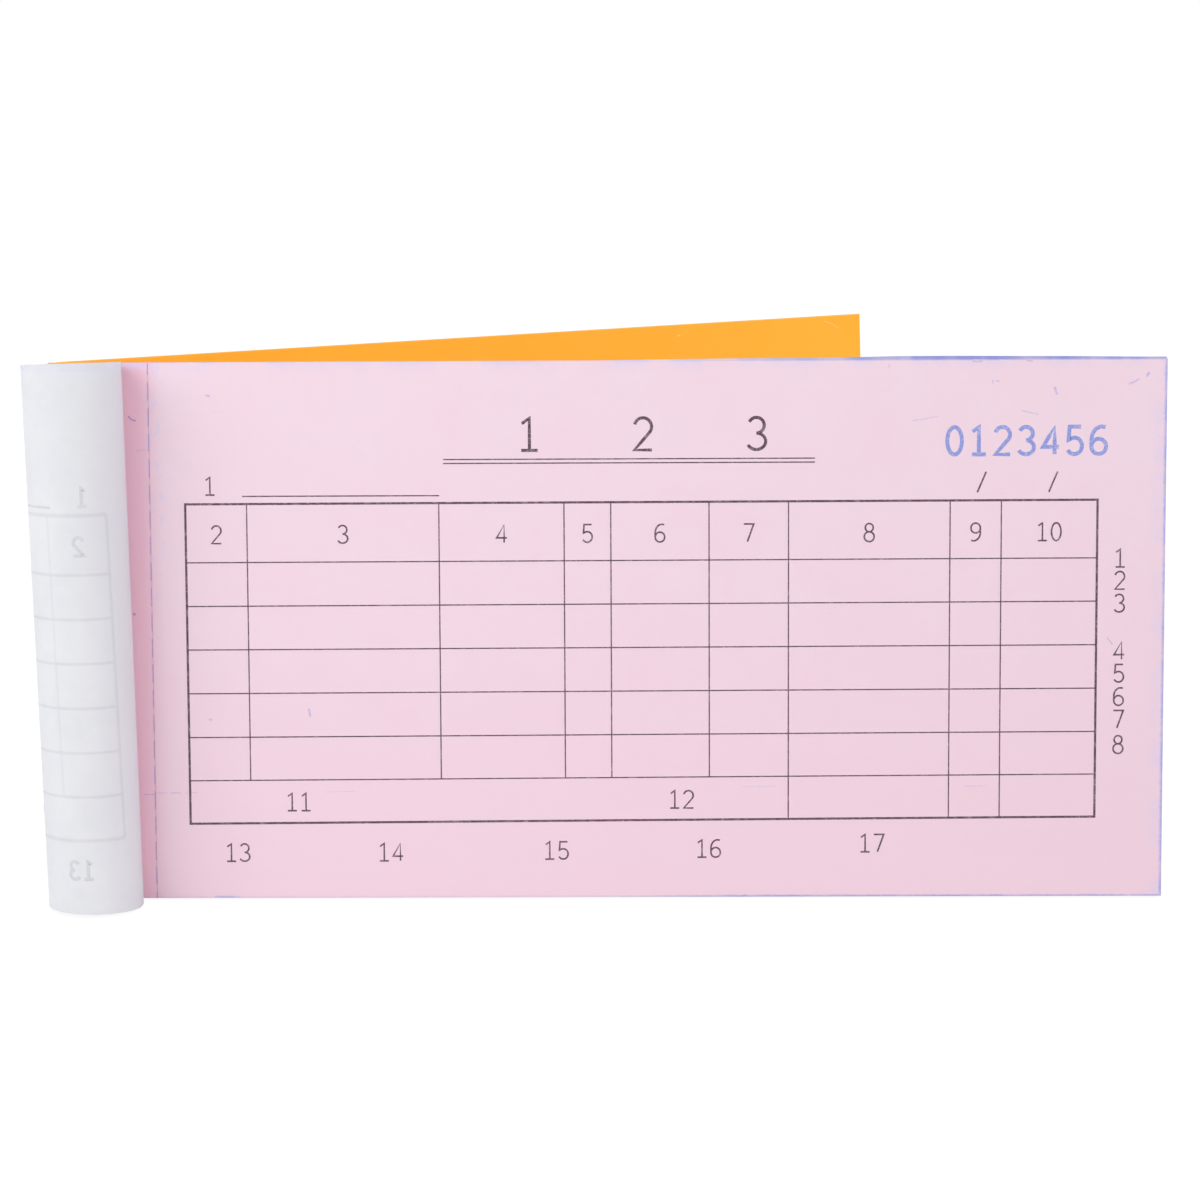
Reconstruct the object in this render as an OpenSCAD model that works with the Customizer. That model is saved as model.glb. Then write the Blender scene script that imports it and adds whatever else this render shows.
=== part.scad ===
// Warehouse receipt book of two-leaf carbonless form sets, standing on its long edge.
// The cover is turned right round behind the pad and props it like an easel.
// The first leaf is turned over the bound edge after it and stands up there as a roll.
// Millimetres. +X runs along the pad to its free edge, +Y from its front to its back, +Z up.

/* [Pad] */
// Length of a leaf, from the bound edge to the free edge
leaf_w = 175; // [150:1:200]
// Height of a leaf
leaf_h = 85; // [70:1:100]
// Thickness of a leaf
leaf_t = 0.075; // [0.06:0.005:0.1]
// Air between two leaves
leaf_gap = 0.015; // [0.01:0.005:0.03]
// Form sets in the book, of two leaves each
set_count = 25; // [15:1:25]
// Lean of the standing pad, back from upright
pad_lean = 3.1; // [0:0.1:5]

/* [Perforation] */
// Distance of the perforation from the bound edge
perf_x = 15.3; // [15:0.1:20]
// Length of one slit
slit_len = 2.9; // [2:0.1:3.5]
// Step from one slit to the next
slit_pitch = 4.05; // [4:0.05:6]
// What the top edge of the leaf leaves of the first slit
slit_top = 1.9; // [0.5:0.1:2]
// Width of one slit
slit_w = 0.35; // [0.3:0.05:0.5]
// Gap beside the tear line of a leaf that turns
tear_gap = 0.1; // [0.1:0.01:0.14]

/* [Cover] */
// Thickness of the cover card
cover_t = 0.3; // [0.2:0.05:0.5]
// Width of the strip that is stapled to the pad
strip_w = 9.5; // [8:0.5:10]
// Gap between the cover and the pad's edges and leaves
cover_gap = 0.05; // [0.02:0.01:0.1]
// Gap at the crease between the spine and the panel
crease_gap = 0.1; // [0.05:0.01:0.2]
// Angle of the splayed cover from the back of the pad
cover_swing = 37; // [20:1:60]

/* [Turned leaf] */
// Right side of the roll at its foot, from the bound edge
roll_right_low = 13.3; // [13:0.1:14.5]
// Right side of the roll at its top, from the bound edge
roll_right_high = 11.7; // [11.5:0.1:14.5]
// Radius of the roll at its foot
roll_r_low = 7.2; // [7:0.1:8.5]
// Radius of the roll at its top
roll_r_high = 7.7; // [7:0.1:8.5]
// Distance of the roll's axis in front of the pad at its foot
roll_rise_low = 4.4; // [3:0.1:6]
// Distance of the roll's axis in front of the pad at its top
roll_rise_high = 4.7; // [3:0.1:6]
// Radius of the fold where the roll leaves the pad
fold_r = 2; // [1:0.1:2.2]
// Gap between the back of the cover and the tail of the leaf
tail_gap = 0.4; // [0.3:0.05:0.6]
// Gap between the end of the roll and the bend of the tail
roll_end_gap = 0.15; // [0.1:0.05:0.3]

/* [Staples] */
// Distance of the staples from the bound edge
staple_x = 5.2; // [4:0.1:7]
// Distance of each staple's middle from the nearer end of the pad
staple_inset = 20; // [15:1:25]
// Length of the crown
crown_len = 12; // [8:1:14]
// Width of the flat wire
wire_w = 0.7; // [0.5:0.05:0.9]
// Thickness of the flat wire
wire_t = 0.45; // [0.3:0.05:0.6]
// Length of each clinched tip
clinch_len = 4.5; // [2:0.1:5]
// Gap round each leg in its hole
leg_gap = 0.1; // [0.05:0.01:0.2]

/* [Hidden] */
// Straight steps of the roll: round its fold, round its front, along its wall and from foot to top
fold_steps = 6;
roll_steps = 36;
wall_steps = 6;
level_steps = 4;
// Length over which two joined pieces of one sheet run into each other
seam = 0.05;
// Smoothness of the rounded card edges
$fn = 48;

leaf_count = 2 * set_count;
pitch = leaf_t + leaf_gap;
// The first leaf lies in front of the pad, so the pressed block holds one leaf fewer
block_t = (leaf_count - 1) * pitch;
pad_t = block_t + cover_t;
strip_y = -pitch - cover_gap;

// Crease of the cover, behind the corner of the pad at the bound edge
hinge_x = -cover_gap - cover_t / 2;
hinge_y = pad_t + crease_gap + cover_t / 2;
// The turned cover spends the thickness of the pad on its way round the spine
panel_w = leaf_w - pad_t;
// The square-cut panel stands on the table, so its foot slants against the leaning crease
foot_slant = atan(tan(pad_lean) * sin(cover_swing));
tail_r = cover_t / 2 + tail_gap + leaf_t / 2;
roll_end_r = tail_r + leaf_t + roll_end_gap;

roll_left_low = roll_right_low - 2 * roll_r_low;
roll_left_high = roll_right_high - 2 * roll_r_high;
// The roll leans towards the bound edge, and its ends are square to it
roll_tilt = atan((roll_right_low - roll_right_high + roll_left_low - roll_left_high) / 2 / leaf_h);
roll_foot = fold_r / 2;

// Middle of the standing book's box, on the table
roll_front = -roll_rise_low - roll_r_low - leaf_t / 2;
panel_end_s = panel_w * cos(foot_slant) - leaf_h * sin(foot_slant);
panel_end_z = panel_w * sin(foot_slant) + leaf_h * cos(foot_slant);
panel_end_y = hinge_y + panel_end_s * sin(cover_swing) + cover_t / 2 * cos(cover_swing);
box_front = roll_front * cos(pad_lean);
box_back = panel_end_y * cos(pad_lean) + panel_end_z * sin(pad_lean);
centre_x = (leaf_w + min(roll_left_low, roll_left_high) - leaf_t / 2) / 2;
centre_y = (box_front + box_back) / 2;

// Paper and card colours
white_paper = [0.93, 0.93, 0.95];
pink_paper = [0.93, 0.83, 0.88];
orange_card = [1, 0.68, 0.22];
wire_grey = [0.7, 0.7, 0.72];

first_plain_leaf = 4;
function leaf_name(i) = str("leaf_", i < 10 ? "0" : "", i);
function leaf_colour(i) = i % 2 == 1 ? white_paper : pink_paper;

// Height of the table under a point of the leaning pad's frame
function table_z(y) = (y - pad_t) * tan(pad_lean);

// Outline of a square-cut sheet that stands on the table and hangs from the leaning crease
function standing_sheet(length) =
    let (
        foot_end = length * [cos(foot_slant), sin(foot_slant)],
        side = leaf_h * [-sin(foot_slant), cos(foot_slant)]
    )
    [[-seam, 0], foot_end, foot_end + side, [-seam, leaf_h / cos(foot_slant)]];

// Path of the turned leaf at one height: along the pad, up at the fold, round and back to the crease
function roll_path(right, r, rise) =
    let (left = [right - 2 * r, -rise], end = [hinge_x - roll_end_r, hinge_y])
    concat(
        [[right - fold_r - roll_foot, -pitch / 2]],
        [for (i = [0 : fold_steps]) let (a = 90 * i / fold_steps)
            [right - fold_r + fold_r * sin(a), -pitch / 2 - fold_r + fold_r * cos(a)]],
        [for (i = [0 : roll_steps]) let (a = 180 * i / roll_steps)
            [right - r + r * cos(a), -rise - r * sin(a)]],
        [for (i = [1 : wall_steps]) left + (end - left) * i / wall_steps]
    );

function total(v, i = 0) = i < len(v) ? v[i] + total(v, i + 1) : 0;
function path_length(p) = total([for (i = [1 : len(p) - 1]) norm(p[i] - p[i - 1])]);

// Unit normal of a path at one of its points
function path_normal(p, i) =
    let (d = p[min(i + 1, len(p) - 1)] - p[max(i - 1, 0)])
    [-d[1], d[0]] / norm(d);

path_low = roll_path(roll_right_low, roll_r_low, roll_rise_low);
path_high = roll_path(roll_right_high, roll_r_high, roll_rise_high);
last_point = len(path_low) - 1;
first_wall_point = last_point - wall_steps;

// What the stub, the roll and the bend leave of the turned leaf
stub_and_roll = (path_length(path_low) + path_length(path_high)) / 2
    + (roll_right_low + roll_right_high) / 2 - fold_r - roll_foot;
tail_w = leaf_w - stub_and_roll - tail_r * (90 - cover_swing) * PI / 180;

// Drop of the roll's square ends against the ends of the pad, back to none where the wall meets the crease
function roll_drop(path, right, i) =
    let (left_i = min(i, first_wall_point), wall = max(0, i - first_wall_point) / wall_steps)
    path[left_i][1] > -pitch ? 0 : -tan(roll_tilt) * (right - path[left_i][0]) * (1 - wall);
function low_z(i) = max(roll_drop(path_low, roll_right_low, i), min(0, table_z(path_low[i][1])));
function high_z(i) = leaf_h + roll_drop(path_high, roll_right_high, i);

// Corner of the ruled sheet: its side of the paper, its level from the foot up, its place on the path
function roll_corner(side, level, i) =
    let (
        low = path_low[i] + side * leaf_t / 2 * path_normal(path_low, i),
        high = path_high[i] + side * leaf_t / 2 * path_normal(path_high, i),
        pt = low + (high - low) * level / level_steps
    )
    [pt[0], pt[1], low_z(i) + (high_z(i) - low_z(i)) * level / level_steps];

roll_corners = [
    for (side = [1, -1], level = [0 : level_steps], i = [0 : last_point]) roll_corner(side, level, i)
];
// Number of a corner in that list, on the outer side (0) or the inner side (1)
function corner(side, level, i) = (side * (level_steps + 1) + level) * (last_point + 1) + i;

// Two triangles for a cell of the sheet, from its corners in turn
function cell(a, b, c, d) = [[a, b, c], [a, c, d]];

roll_faces = concat(
    [for (k = [0 : level_steps - 1], i = [0 : last_point - 1])
        each cell(corner(0, k + 1, i), corner(0, k, i), corner(0, k, i + 1), corner(0, k + 1, i + 1))],
    [for (k = [0 : level_steps - 1], i = [0 : last_point - 1])
        each cell(corner(1, k + 1, i), corner(1, k + 1, i + 1), corner(1, k, i + 1), corner(1, k, i))],
    [for (i = [0 : last_point - 1])
        each cell(corner(0, 0, i), corner(1, 0, i), corner(1, 0, i + 1), corner(0, 0, i + 1))],
    [for (k = [level_steps], i = [0 : last_point - 1])
        each cell(corner(1, k, i), corner(0, k, i), corner(0, k, i + 1), corner(1, k, i + 1))],
    [for (k = [0 : level_steps - 1])
        each cell(corner(0, k, 0), corner(0, k + 1, 0), corner(1, k + 1, 0), corner(1, k, 0))],
    [for (k = [0 : level_steps - 1], i = [last_point])
        each cell(corner(0, k, i), corner(1, k, i), corner(1, k + 1, i), corner(0, k + 1, i))]
);

// Sets pieces made square to the pad on the table
module standing() {
    translate([-centre_x, -centre_y, pad_t * sin(pad_lean)])
        rotate([-pad_lean, 0, 0])
            children();
}

// Gives an outline drawn on the pad's face its thickness, from front to back
module plate(front, thickness) {
    translate([0, front + thickness, 0])
        rotate([90, 0, 0])
            linear_extrude(thickness)
                children();
}

// Slits of the perforation, as cut through a leaf and through its two ends
module slits() {
    last = floor((leaf_h - slit_top + slit_len) / slit_pitch);
    for (i = [0 : last])
        translate([perf_x - slit_w / 2, leaf_h - slit_top - i * slit_pitch])
            square([slit_w, slit_len]);
}

// Places of the two staples' middles along the bound edge
staple_middles = [staple_inset, leaf_h - staple_inset];

// Holes for the legs of both staples
module leg_holes() {
    for (middle = staple_middles, side = [-1, 1])
        translate([staple_x, middle + side * (crown_len - wire_t) / 2])
            square([wire_w + 2 * leg_gap, wire_t + 2 * leg_gap], center = true);
}

// Part of a leaf from one distance to another, with its slits and holes, at its place in the pad
module leaf(i, from, to) {
    color(leaf_colour(i))
        plate((i - 2) * pitch + leaf_gap / 2, leaf_t)
            difference() {
                translate([from, 0])
                    square([to - from, leaf_h]);
                slits();
                leg_holes();
            }
}

module leaf_stub(i) {
    leaf(i, 0, perf_x - tear_gap);
}

module leaf_sheet(i) {
    leaf(i, perf_x + tear_gap, leaf_w);
}

// Strip under the staples, rounded over the pad's edge into the spine
module cover_strip() {
    corner_r = cover_t + cover_gap;
    color(orange_card)
        difference() {
            linear_extrude(leaf_h) {
                translate([0, strip_y - cover_t])
                    square([strip_w, cover_t]);
                translate([-corner_r, strip_y + cover_gap])
                    square([cover_t, pad_t - strip_y - cover_gap]);
                intersection() {
                    translate([0, strip_y + cover_gap])
                        difference() {
                            circle(corner_r);
                            circle(cover_gap);
                        }
                    translate([-corner_r, strip_y - cover_t])
                        square([corner_r, corner_r]);
                }
            }
            plate(strip_y - 2 * cover_t, 3 * cover_t)
                leg_holes();
        }
}

// Swinging panel of the cover, with its rounded crease
module cover_panel() {
    color(orange_card)
        translate([hinge_x, hinge_y, table_z(hinge_y)])
            rotate([0, 0, cover_swing]) {
                cylinder(h = leaf_h / cos(foot_slant), r = cover_t / 2);
                plate(-cover_t / 2, cover_t)
                    polygon(standing_sheet(panel_w));
            }
}

// Stub of the turned leaf under the cover's strip, and its roll
module first_leaf_roll() {
    color(white_paper) {
        plate(-pitch + leaf_gap / 2, leaf_t)
            difference() {
                polygon([
                    [0, 0],
                    [roll_right_low - fold_r - seam, 0],
                    [roll_right_high - fold_r - seam, leaf_h],
                    [0, leaf_h]
                ]);
                leg_holes();
            }
        polyhedron(roll_corners, roll_faces);
    }
}

// Tail of the turned leaf, bent round the crease and lying behind the cover
module first_leaf_tail() {
    color(white_paper)
        translate([hinge_x, hinge_y, table_z(hinge_y + tail_r * cos(cover_swing))]) {
            rotate([0, 0, 90 + cover_swing])
                rotate_extrude(angle = 90 - cover_swing)
                    translate([tail_r - leaf_t / 2, 0])
                        square([leaf_t, leaf_h]);
            rotate([0, 0, cover_swing])
                plate(tail_r - leaf_t / 2, leaf_t)
                    polygon(standing_sheet(tail_w));
        }
}

module back_cover() {
    color(orange_card)
        plate(block_t, cover_t)
            difference() {
                square([leaf_w, leaf_h]);
                leg_holes();
            }
}

// Flat-wire staple: crown on the cover's strip, legs through the pad, tips clinched on the back
module staple(middle) {
    crown_y = strip_y - cover_t - wire_t;
    color(wire_grey)
        translate([staple_x - wire_w / 2, 0, middle]) {
            translate([0, crown_y, -crown_len / 2])
                cube([wire_w, wire_t, crown_len]);
            for (side = [0, 1])
                mirror([0, 0, side]) {
                    translate([0, crown_y, crown_len / 2 - wire_t])
                        cube([wire_w, pad_t + wire_t - crown_y, wire_t]);
                    translate([0, pad_t, crown_len / 2 - clinch_len])
                        cube([wire_w, wire_t, clinch_len]);
                }
        }
}

standing() cover_strip();
standing() cover_panel();
standing() first_leaf_roll();
standing() first_leaf_tail();
standing() leaf_stub(2);  // second_leaf_stub
standing() leaf_sheet(2);  // second_leaf_sheet
standing() leaf_stub(3);  // third_leaf_stub
standing() leaf_sheet(3);  // third_leaf_sheet
for (i = [first_plain_leaf : leaf_count])
    standing() leaf(i, 0, leaf_w);
standing() back_cover();
standing() staple(staple_middles[0]);  // staple_low
standing() staple(staple_middles[1]);  // staple_high
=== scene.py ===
"""Looks of a standing warehouse receipt book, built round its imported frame.

The pad of carbonless leaves leans back on its long edge. Its cover is turned right round behind it
as a prop, and its first leaf follows the cover in a slightly conical roll over the bound edge.
Sheets are worked out in millimetres square to the pad: x from the bound edge, y from the front of
the second leaf to the back, z up from the foot. Book.world() leans them and gives metres.
"""

import logging
import math
from dataclasses import dataclass, field
from enum import Enum
from typing import Callable, Dict, List, Optional, Sequence, Tuple, Union

import bpy
import numpy as np
from mathutils import Matrix, Vector


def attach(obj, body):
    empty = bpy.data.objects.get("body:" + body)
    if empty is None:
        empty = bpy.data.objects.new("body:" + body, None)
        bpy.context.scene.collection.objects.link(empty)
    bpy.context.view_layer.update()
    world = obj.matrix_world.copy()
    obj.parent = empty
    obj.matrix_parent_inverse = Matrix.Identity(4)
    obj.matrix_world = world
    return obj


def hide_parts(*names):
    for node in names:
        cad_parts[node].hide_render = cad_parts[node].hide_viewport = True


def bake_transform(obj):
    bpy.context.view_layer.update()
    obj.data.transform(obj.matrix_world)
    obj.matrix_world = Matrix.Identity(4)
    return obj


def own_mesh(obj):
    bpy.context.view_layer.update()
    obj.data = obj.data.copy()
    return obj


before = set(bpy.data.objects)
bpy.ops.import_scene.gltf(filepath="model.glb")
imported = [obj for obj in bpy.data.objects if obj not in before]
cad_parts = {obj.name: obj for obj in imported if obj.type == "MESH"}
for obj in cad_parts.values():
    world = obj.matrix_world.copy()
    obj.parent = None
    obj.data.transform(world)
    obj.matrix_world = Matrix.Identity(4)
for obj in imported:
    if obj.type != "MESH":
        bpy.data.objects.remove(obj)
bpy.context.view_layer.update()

LOG = logging.getLogger("receipt_book")
LEAF_COORDS = "leaf_mm"
MM_PER_METRE = 1000.0

Array = np.ndarray
Piece = bpy.types.Object
Finish = bpy.types.Material
Point = Tuple[float, float]
Place = Tuple[float, float, float]
Stroke = List[Point]
Mark = Tuple[Stroke, float]
Opening = Tuple[float, float, float, float]
Colour = Tuple[float, float, float, float]
Relief = Callable[[Array, Array], Array]

PURE_WHITE: Colour = (1.0, 1.0, 1.0, 1.0)


def srgb(red: int, green: int, blue: int) -> Colour:
    """Turns a colour as seen on screen into the linear one that shaders take.

    Args:
        red: Red from 0 to 255.
        green: Green from 0 to 255.
        blue: Blue from 0 to 255.

    Returns:
        The linear colour, with full alpha.
    """
    def linear(part: int) -> float:
        """Gives one channel's linear value."""
        share = part / 255
        return share / 12.92 if share <= 0.04045 else ((share + 0.055) / 1.055) ** 2.4

    return linear(red), linear(green), linear(blue), 1.0


def heading(angle: float) -> Array:
    """Gives the direction at an angle in radians, as x and y."""
    return np.array([math.cos(angle), math.sin(angle)])


def unit(vectors: Array) -> Array:
    """Gives vectors in the last axis the length 1."""
    return vectors / np.linalg.norm(vectors, axis=-1, keepdims=True)


@dataclass(frozen=True)
class Book:
    """Sizes that several pieces of the book share, in millimetres and degrees."""

    leaf_w: float = 175.0
    leaf_h: float = 85.0
    leaf_t: float = 0.075
    leaf_gap: float = 0.015
    leaf_count: int = 50
    cover_t: float = 0.3
    cover_gap: float = 0.05
    crease_gap: float = 0.1
    cover_swing: float = 37.0
    lean: float = 3.1
    perf_x: float = 15.3
    centre_x: float = 85.63125
    centre_y: float = 49.480496

    @property
    def pitch(self) -> float:
        """Step from one leaf to the next."""
        return self.leaf_t + self.leaf_gap

    @property
    def pad_t(self) -> float:
        """Thickness of the pressed pad with its back card."""
        return (self.leaf_count - 1) * self.pitch + self.cover_t

    @property
    def hinge(self) -> Array:
        """Crease of the cover, as x and y."""
        half = self.cover_t / 2
        return np.array([-self.cover_gap - half, self.pad_t + self.crease_gap + half])

    @property
    def strip_y(self) -> float:
        """Back of the cover's stapled strip."""
        return -self.pitch - self.cover_gap

    @property
    def panel_along(self) -> Array:
        """Direction of the splayed cover away from its crease, as x and y."""
        return heading(math.radians(self.cover_swing))

    @property
    def panel_behind(self) -> Array:
        """Direction square to the splayed cover, away from the pad, as x and y."""
        along = self.panel_along
        return np.array([-along[1], along[0]])

    @property
    def foot_slant(self) -> float:
        """Slant of the cover's foot against the leaning crease, in radians."""
        lean, swing = math.radians(self.lean), math.radians(self.cover_swing)
        return math.atan(math.tan(lean) * math.sin(swing))

    def leaf_middle(self, number: int) -> float:
        """Gives the y of the middle of a leaf in the pad, counted from the cover."""
        return (number - 2) * self.pitch + self.pitch / 2

    def table_z(self, y: float) -> float:
        """Gives the height of the table under a y of the leaning pad."""
        return float((y - self.pad_t) * math.tan(math.radians(self.lean)))

    def world(self, points: Array) -> Array:
        """Leans points of the pad back onto the table.

        Args:
            points: Places in pad millimetres, in the last axis.

        Returns:
            The same places in the frame's metres.
        """
        turn = math.radians(self.lean)
        x, y, z = np.moveaxis(np.asarray(points, float), -1, 0)
        leaned = np.stack([
            x - self.centre_x,
            y * math.cos(turn) + z * math.sin(turn) - self.centre_y,
            -y * math.sin(turn) + z * math.cos(turn) + self.pad_t * math.sin(turn),
        ], axis=-1)
        return leaned / MM_PER_METRE


BOOK = Book()


class Body(str, Enum):
    """Bodies of the frame that pieces ride on."""

    PAD = "pad"
    COVER = "cover"
    FIRST_LEAF = "first_leaf"
    SECOND_LEAF = "second_leaf"
    THIRD_LEAF = "third_leaf"


class Slot(str, Enum):
    """Material slots of the record."""

    CARD = "orange_card"
    WHITE = "white_paper"
    PINK = "pink_paper"
    WIRE = "staple_wire"


@dataclass(frozen=True)
class Role:
    """What a piece is to the frame: the body it rides on, its slot and the solids it stands for."""

    body: Optional[Body] = None
    slot: Optional[Slot] = None
    nodes: Tuple[str, ...] = ()

    def give(self, piece: Piece) -> None:
        """Tells the frame about a piece.

        Args:
            piece: The piece that has this role.
        """
        if self.body is not None:
            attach(piece, self.body.value)
        if self.nodes:
            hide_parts(*self.nodes)


def operator(operation: str, turned: bool = False) -> Callable[["Wire", "Value"], "Wire"]:
    """Makes a method that adds a Math node on a wire and another value.

    Args:
        operation: What the node does.
        turned: Whether the other value comes first.

    Returns:
        The method.
    """
    def method(wire: "Wire", other: "Value") -> "Wire":
        """Adds the node."""
        return wire.graph.math(operation, *((other, wire) if turned else (wire, other)))

    return method


class Wire:
    """A shader socket that takes part in Python sums."""

    __add__ = __radd__ = operator("ADD")
    __sub__ = operator("SUBTRACT")
    __rsub__ = operator("SUBTRACT", turned=True)
    __mul__ = __rmul__ = operator("MULTIPLY")
    __truediv__ = operator("DIVIDE")
    __mod__ = operator("FLOORED_MODULO")
    least = operator("MINIMUM")
    most = operator("MAXIMUM")

    def __init__(self, graph: "Graph", socket: Optional[bpy.types.NodeSocket]) -> None:
        """Keeps the socket and the graph that its sums go into."""
        self.graph = graph
        self.socket = socket

    def __abs__(self) -> "Wire":
        """Drops the sign."""
        return self.graph.math("ABSOLUTE", self)

    def near(self, place: float, reach: float) -> "Wire":
        """Gives 1 within reach of the place and 0 beyond."""
        return self.graph.math("COMPARE", self, place, reach)

    def step(self, low: float, high: float) -> "Wire":
        """Rises smoothly from 0 to 1, or falls where low is the greater.

        Args:
            low: Value that gives 0.
            high: Value that gives 1.

        Returns:
            The share.
        """
        ends = (low, high, 0.0, 1.0) if low < high else (high, low, 1.0, 0.0)
        names = ("From Min", "From Max", "To Min", "To Max")
        sockets = {"Value": self, **dict(zip(names, ends))}
        return self.graph.node("ShaderNodeMapRange", {"interpolation_type": "SMOOTHSTEP"}, sockets)

    def rise(self, span: Point, least: float) -> "Wire":
        """Rises smoothly over a span, from a least share to 1."""
        return least + (1.0 - least) * self.step(*span)

    def mix(self, first: object, second: object) -> "Wire":
        """Mixes two colours with this as the share of the second."""
        sockets = {0: self, 6: first, 7: second}
        return self.graph.node("ShaderNodeMix", {"data_type": "RGBA"}, sockets, out=2)

    def beside(self, out: Union[str, int]) -> "Wire":
        """Gives another output of the same node."""
        return Wire(self.graph, self.socket.node.outputs[out])

    def split(self) -> Tuple["Wire", "Wire", "Wire"]:
        """Gives a vector's three parts."""
        first = self.graph.node("ShaderNodeSeparateXYZ", None, {0: self})
        return first, first.beside(1), first.beside(2)


Value = Union[float, Wire]
Setting = Union[str, float, bool]


class Graph:
    """Node tree of a material or of the surroundings."""

    def __init__(self, owner: Union[Finish, bpy.types.World]) -> None:
        """Empties the owner's node tree.

        Args:
            owner: Material or surroundings that the tree belongs to.
        """
        self.owner = owner
        owner.use_nodes = True
        self.tree = owner.node_tree
        self.tree.nodes.clear()

    def node(
        self,
        kind: str,
        settings: Optional[Dict[str, Setting]] = None,
        sockets: Optional[Dict[Union[str, int], object]] = None,
        out: Union[str, int, None] = 0,
    ) -> Wire:
        """Adds a node.

        Args:
            kind: Type of the node.
            settings: Its properties.
            sockets: Values or wires of its inputs, by name or number.
            out: Output to give back, or None for a node without any.

        Returns:
            The wire of that output.
        """
        node = self.tree.nodes.new(kind)
        for key, value in (settings or {}).items():
            setattr(node, key, value)
        for key, value in (sockets or {}).items():
            if isinstance(value, Wire):
                self.tree.links.new(value.socket, node.inputs[key])
            else:
                node.inputs[key].default_value = value
        return Wire(self, None if out is None else node.outputs[out])

    def math(self, operation: str, *values: Value) -> Wire:
        """Adds a Math node on the values."""
        return self.node("ShaderNodeMath", {"operation": operation}, dict(enumerate(values)))

    def leaf(self) -> Wire:
        """Gives the place on the flat leaf: x, height, and 0 on its front to 1 on its back."""
        return self.node("ShaderNodeAttribute", {"attribute_name": LEAF_COORDS}, out="Vector")

    def close(self, shader: Wire, output: str = "ShaderNodeOutputMaterial") -> None:
        """Puts a shader on the tree's output."""
        self.node(output, None, {"Surface": shader}, out=None)

    def surface(self, sockets: Dict[str, object], height: Wire, strength: float) -> Finish:
        """Closes a material with a Principled shader.

        Args:
            sockets: Values or wires of the shader's sockets.
            height: Height of the surface's relief, in millimetres.
            strength: Strength of its bump.

        Returns:
            The finished material.
        """
        bump = {"Height": height, "Strength": strength, "Distance": 1.0 / MM_PER_METRE}
        normal = self.node("ShaderNodeBump", None, bump)
        self.close(self.node("ShaderNodeBsdfPrincipled", None, {**sockets, "Normal": normal}))
        return self.owner


@dataclass(frozen=True)
class Grain:
    """A noise, with the stretch of the place that it is read at."""

    scale: float
    detail: float = 3.0
    rough: float = 0.6
    bend: float = 0.0
    stretch: Optional[Place] = None

    def on(self, place: Wire) -> Wire:
        """Reads the noise.

        Args:
            place: Where to read it.

        Returns:
            Its value there.
        """
        g = place.graph
        if self.stretch is not None:
            sockets = {0: place, 1: self.stretch}
            place = g.node("ShaderNodeVectorMath", {"operation": "MULTIPLY"}, sockets)
        names = ("Vector", "Scale", "Detail", "Roughness", "Distortion")
        values = (place, self.scale, self.detail, self.rough, self.bend)
        return g.node("ShaderNodeTexNoise", None, dict(zip(names, values)))


PAPER_MOTTLE = Grain(0.09, 4.0)
PAPER_CLOUD = Grain(0.55)
PAPER_FIBRE = Grain(3.2, 5.0, 0.75, 0.8, (1.0, 1.9, 1.0))
PAPER_GRIT = Grain(7.5, 2.0)
STAIN_PATCH = Grain(0.16)
STAIN_RAGGED = Grain(1.3, 3.0, 0.65)
STAIN_SMEAR = Grain(0.8, stretch=(1.0, 0.5, 1.0))
STAIN_SCUFF = Grain(0.5, 2.0, 0.5, 1.5, (0.6, 1.5, 1.0))
CARD_MOTTLE = Grain(0.05, 3.0, 0.55)
CARD_FIBRE = Grain(2.4, 5.0, 0.7, 0.6, (1.0, 2.2, 1.0))
CARD_GRIT = Grain(6.0, 2.0)
WIRE_LINES = Grain(1.0, stretch=(9000.0, 9000.0, 500.0))
WIRE_BLOOM = Grain(900.0)


def arc(middle: Point, reach: Point, start: float, end: float, steps: int = 18) -> Stroke:
    """Gives points round an ellipse, from one angle to another in degrees."""
    turns = [math.radians(start + (end - start) * i / steps) for i in range(steps + 1)]
    return [(middle[0] + reach[0] * math.cos(a), middle[1] + reach[1] * math.sin(a)) for a in turns]


SIX: List[Stroke] = [
    arc((0.40, 0.52), (0.34, 0.43), 70, 180, 10) + [(0.06, 0.34)],
    arc((0.30, 0.30), (0.24, 0.25), 180, 540, 28),
]
DIGITS: Dict[str, List[Stroke]] = {
    "0": [arc((0.30, 0.5), (0.24, 0.45), 90, 450, 32)],
    "1": [[(0.10, 0.80), (0.31, 0.95), (0.31, 0.05)], [(0.08, 0.05), (0.54, 0.05)]],
    "2": [arc((0.30, 0.70), (0.24, 0.25), 165, -35, 16) + [(0.06, 0.05), (0.55, 0.05)]],
    "3": [arc((0.28, 0.73), (0.22, 0.22), 155, -90, 16), arc((0.28, 0.28), (0.26, 0.23), 90, -155)],
    "4": [[(0.43, 0.05), (0.43, 0.95), (0.05, 0.29), (0.57, 0.29)]],
    "5": [[(0.51, 0.95), (0.13, 0.95), (0.10, 0.52)] + arc((0.29, 0.32), (0.25, 0.27), 125, -150)],
    "6": SIX,
    "7": [[(0.05, 0.95), (0.55, 0.95), (0.23, 0.05)]],
    "8": [
        arc((0.30, 0.74), (0.20, 0.21), -90, 270, 24),
        arc((0.30, 0.28), (0.25, 0.25), 90, 450, 28),
    ],
    "9": [[(0.60 - x, 1.0 - z) for x, z in stroke] for stroke in SIX],
    "/": [[(0.08, -0.02), (0.52, 1.02)]],
}
DIGIT_WIDE = 0.6


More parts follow.
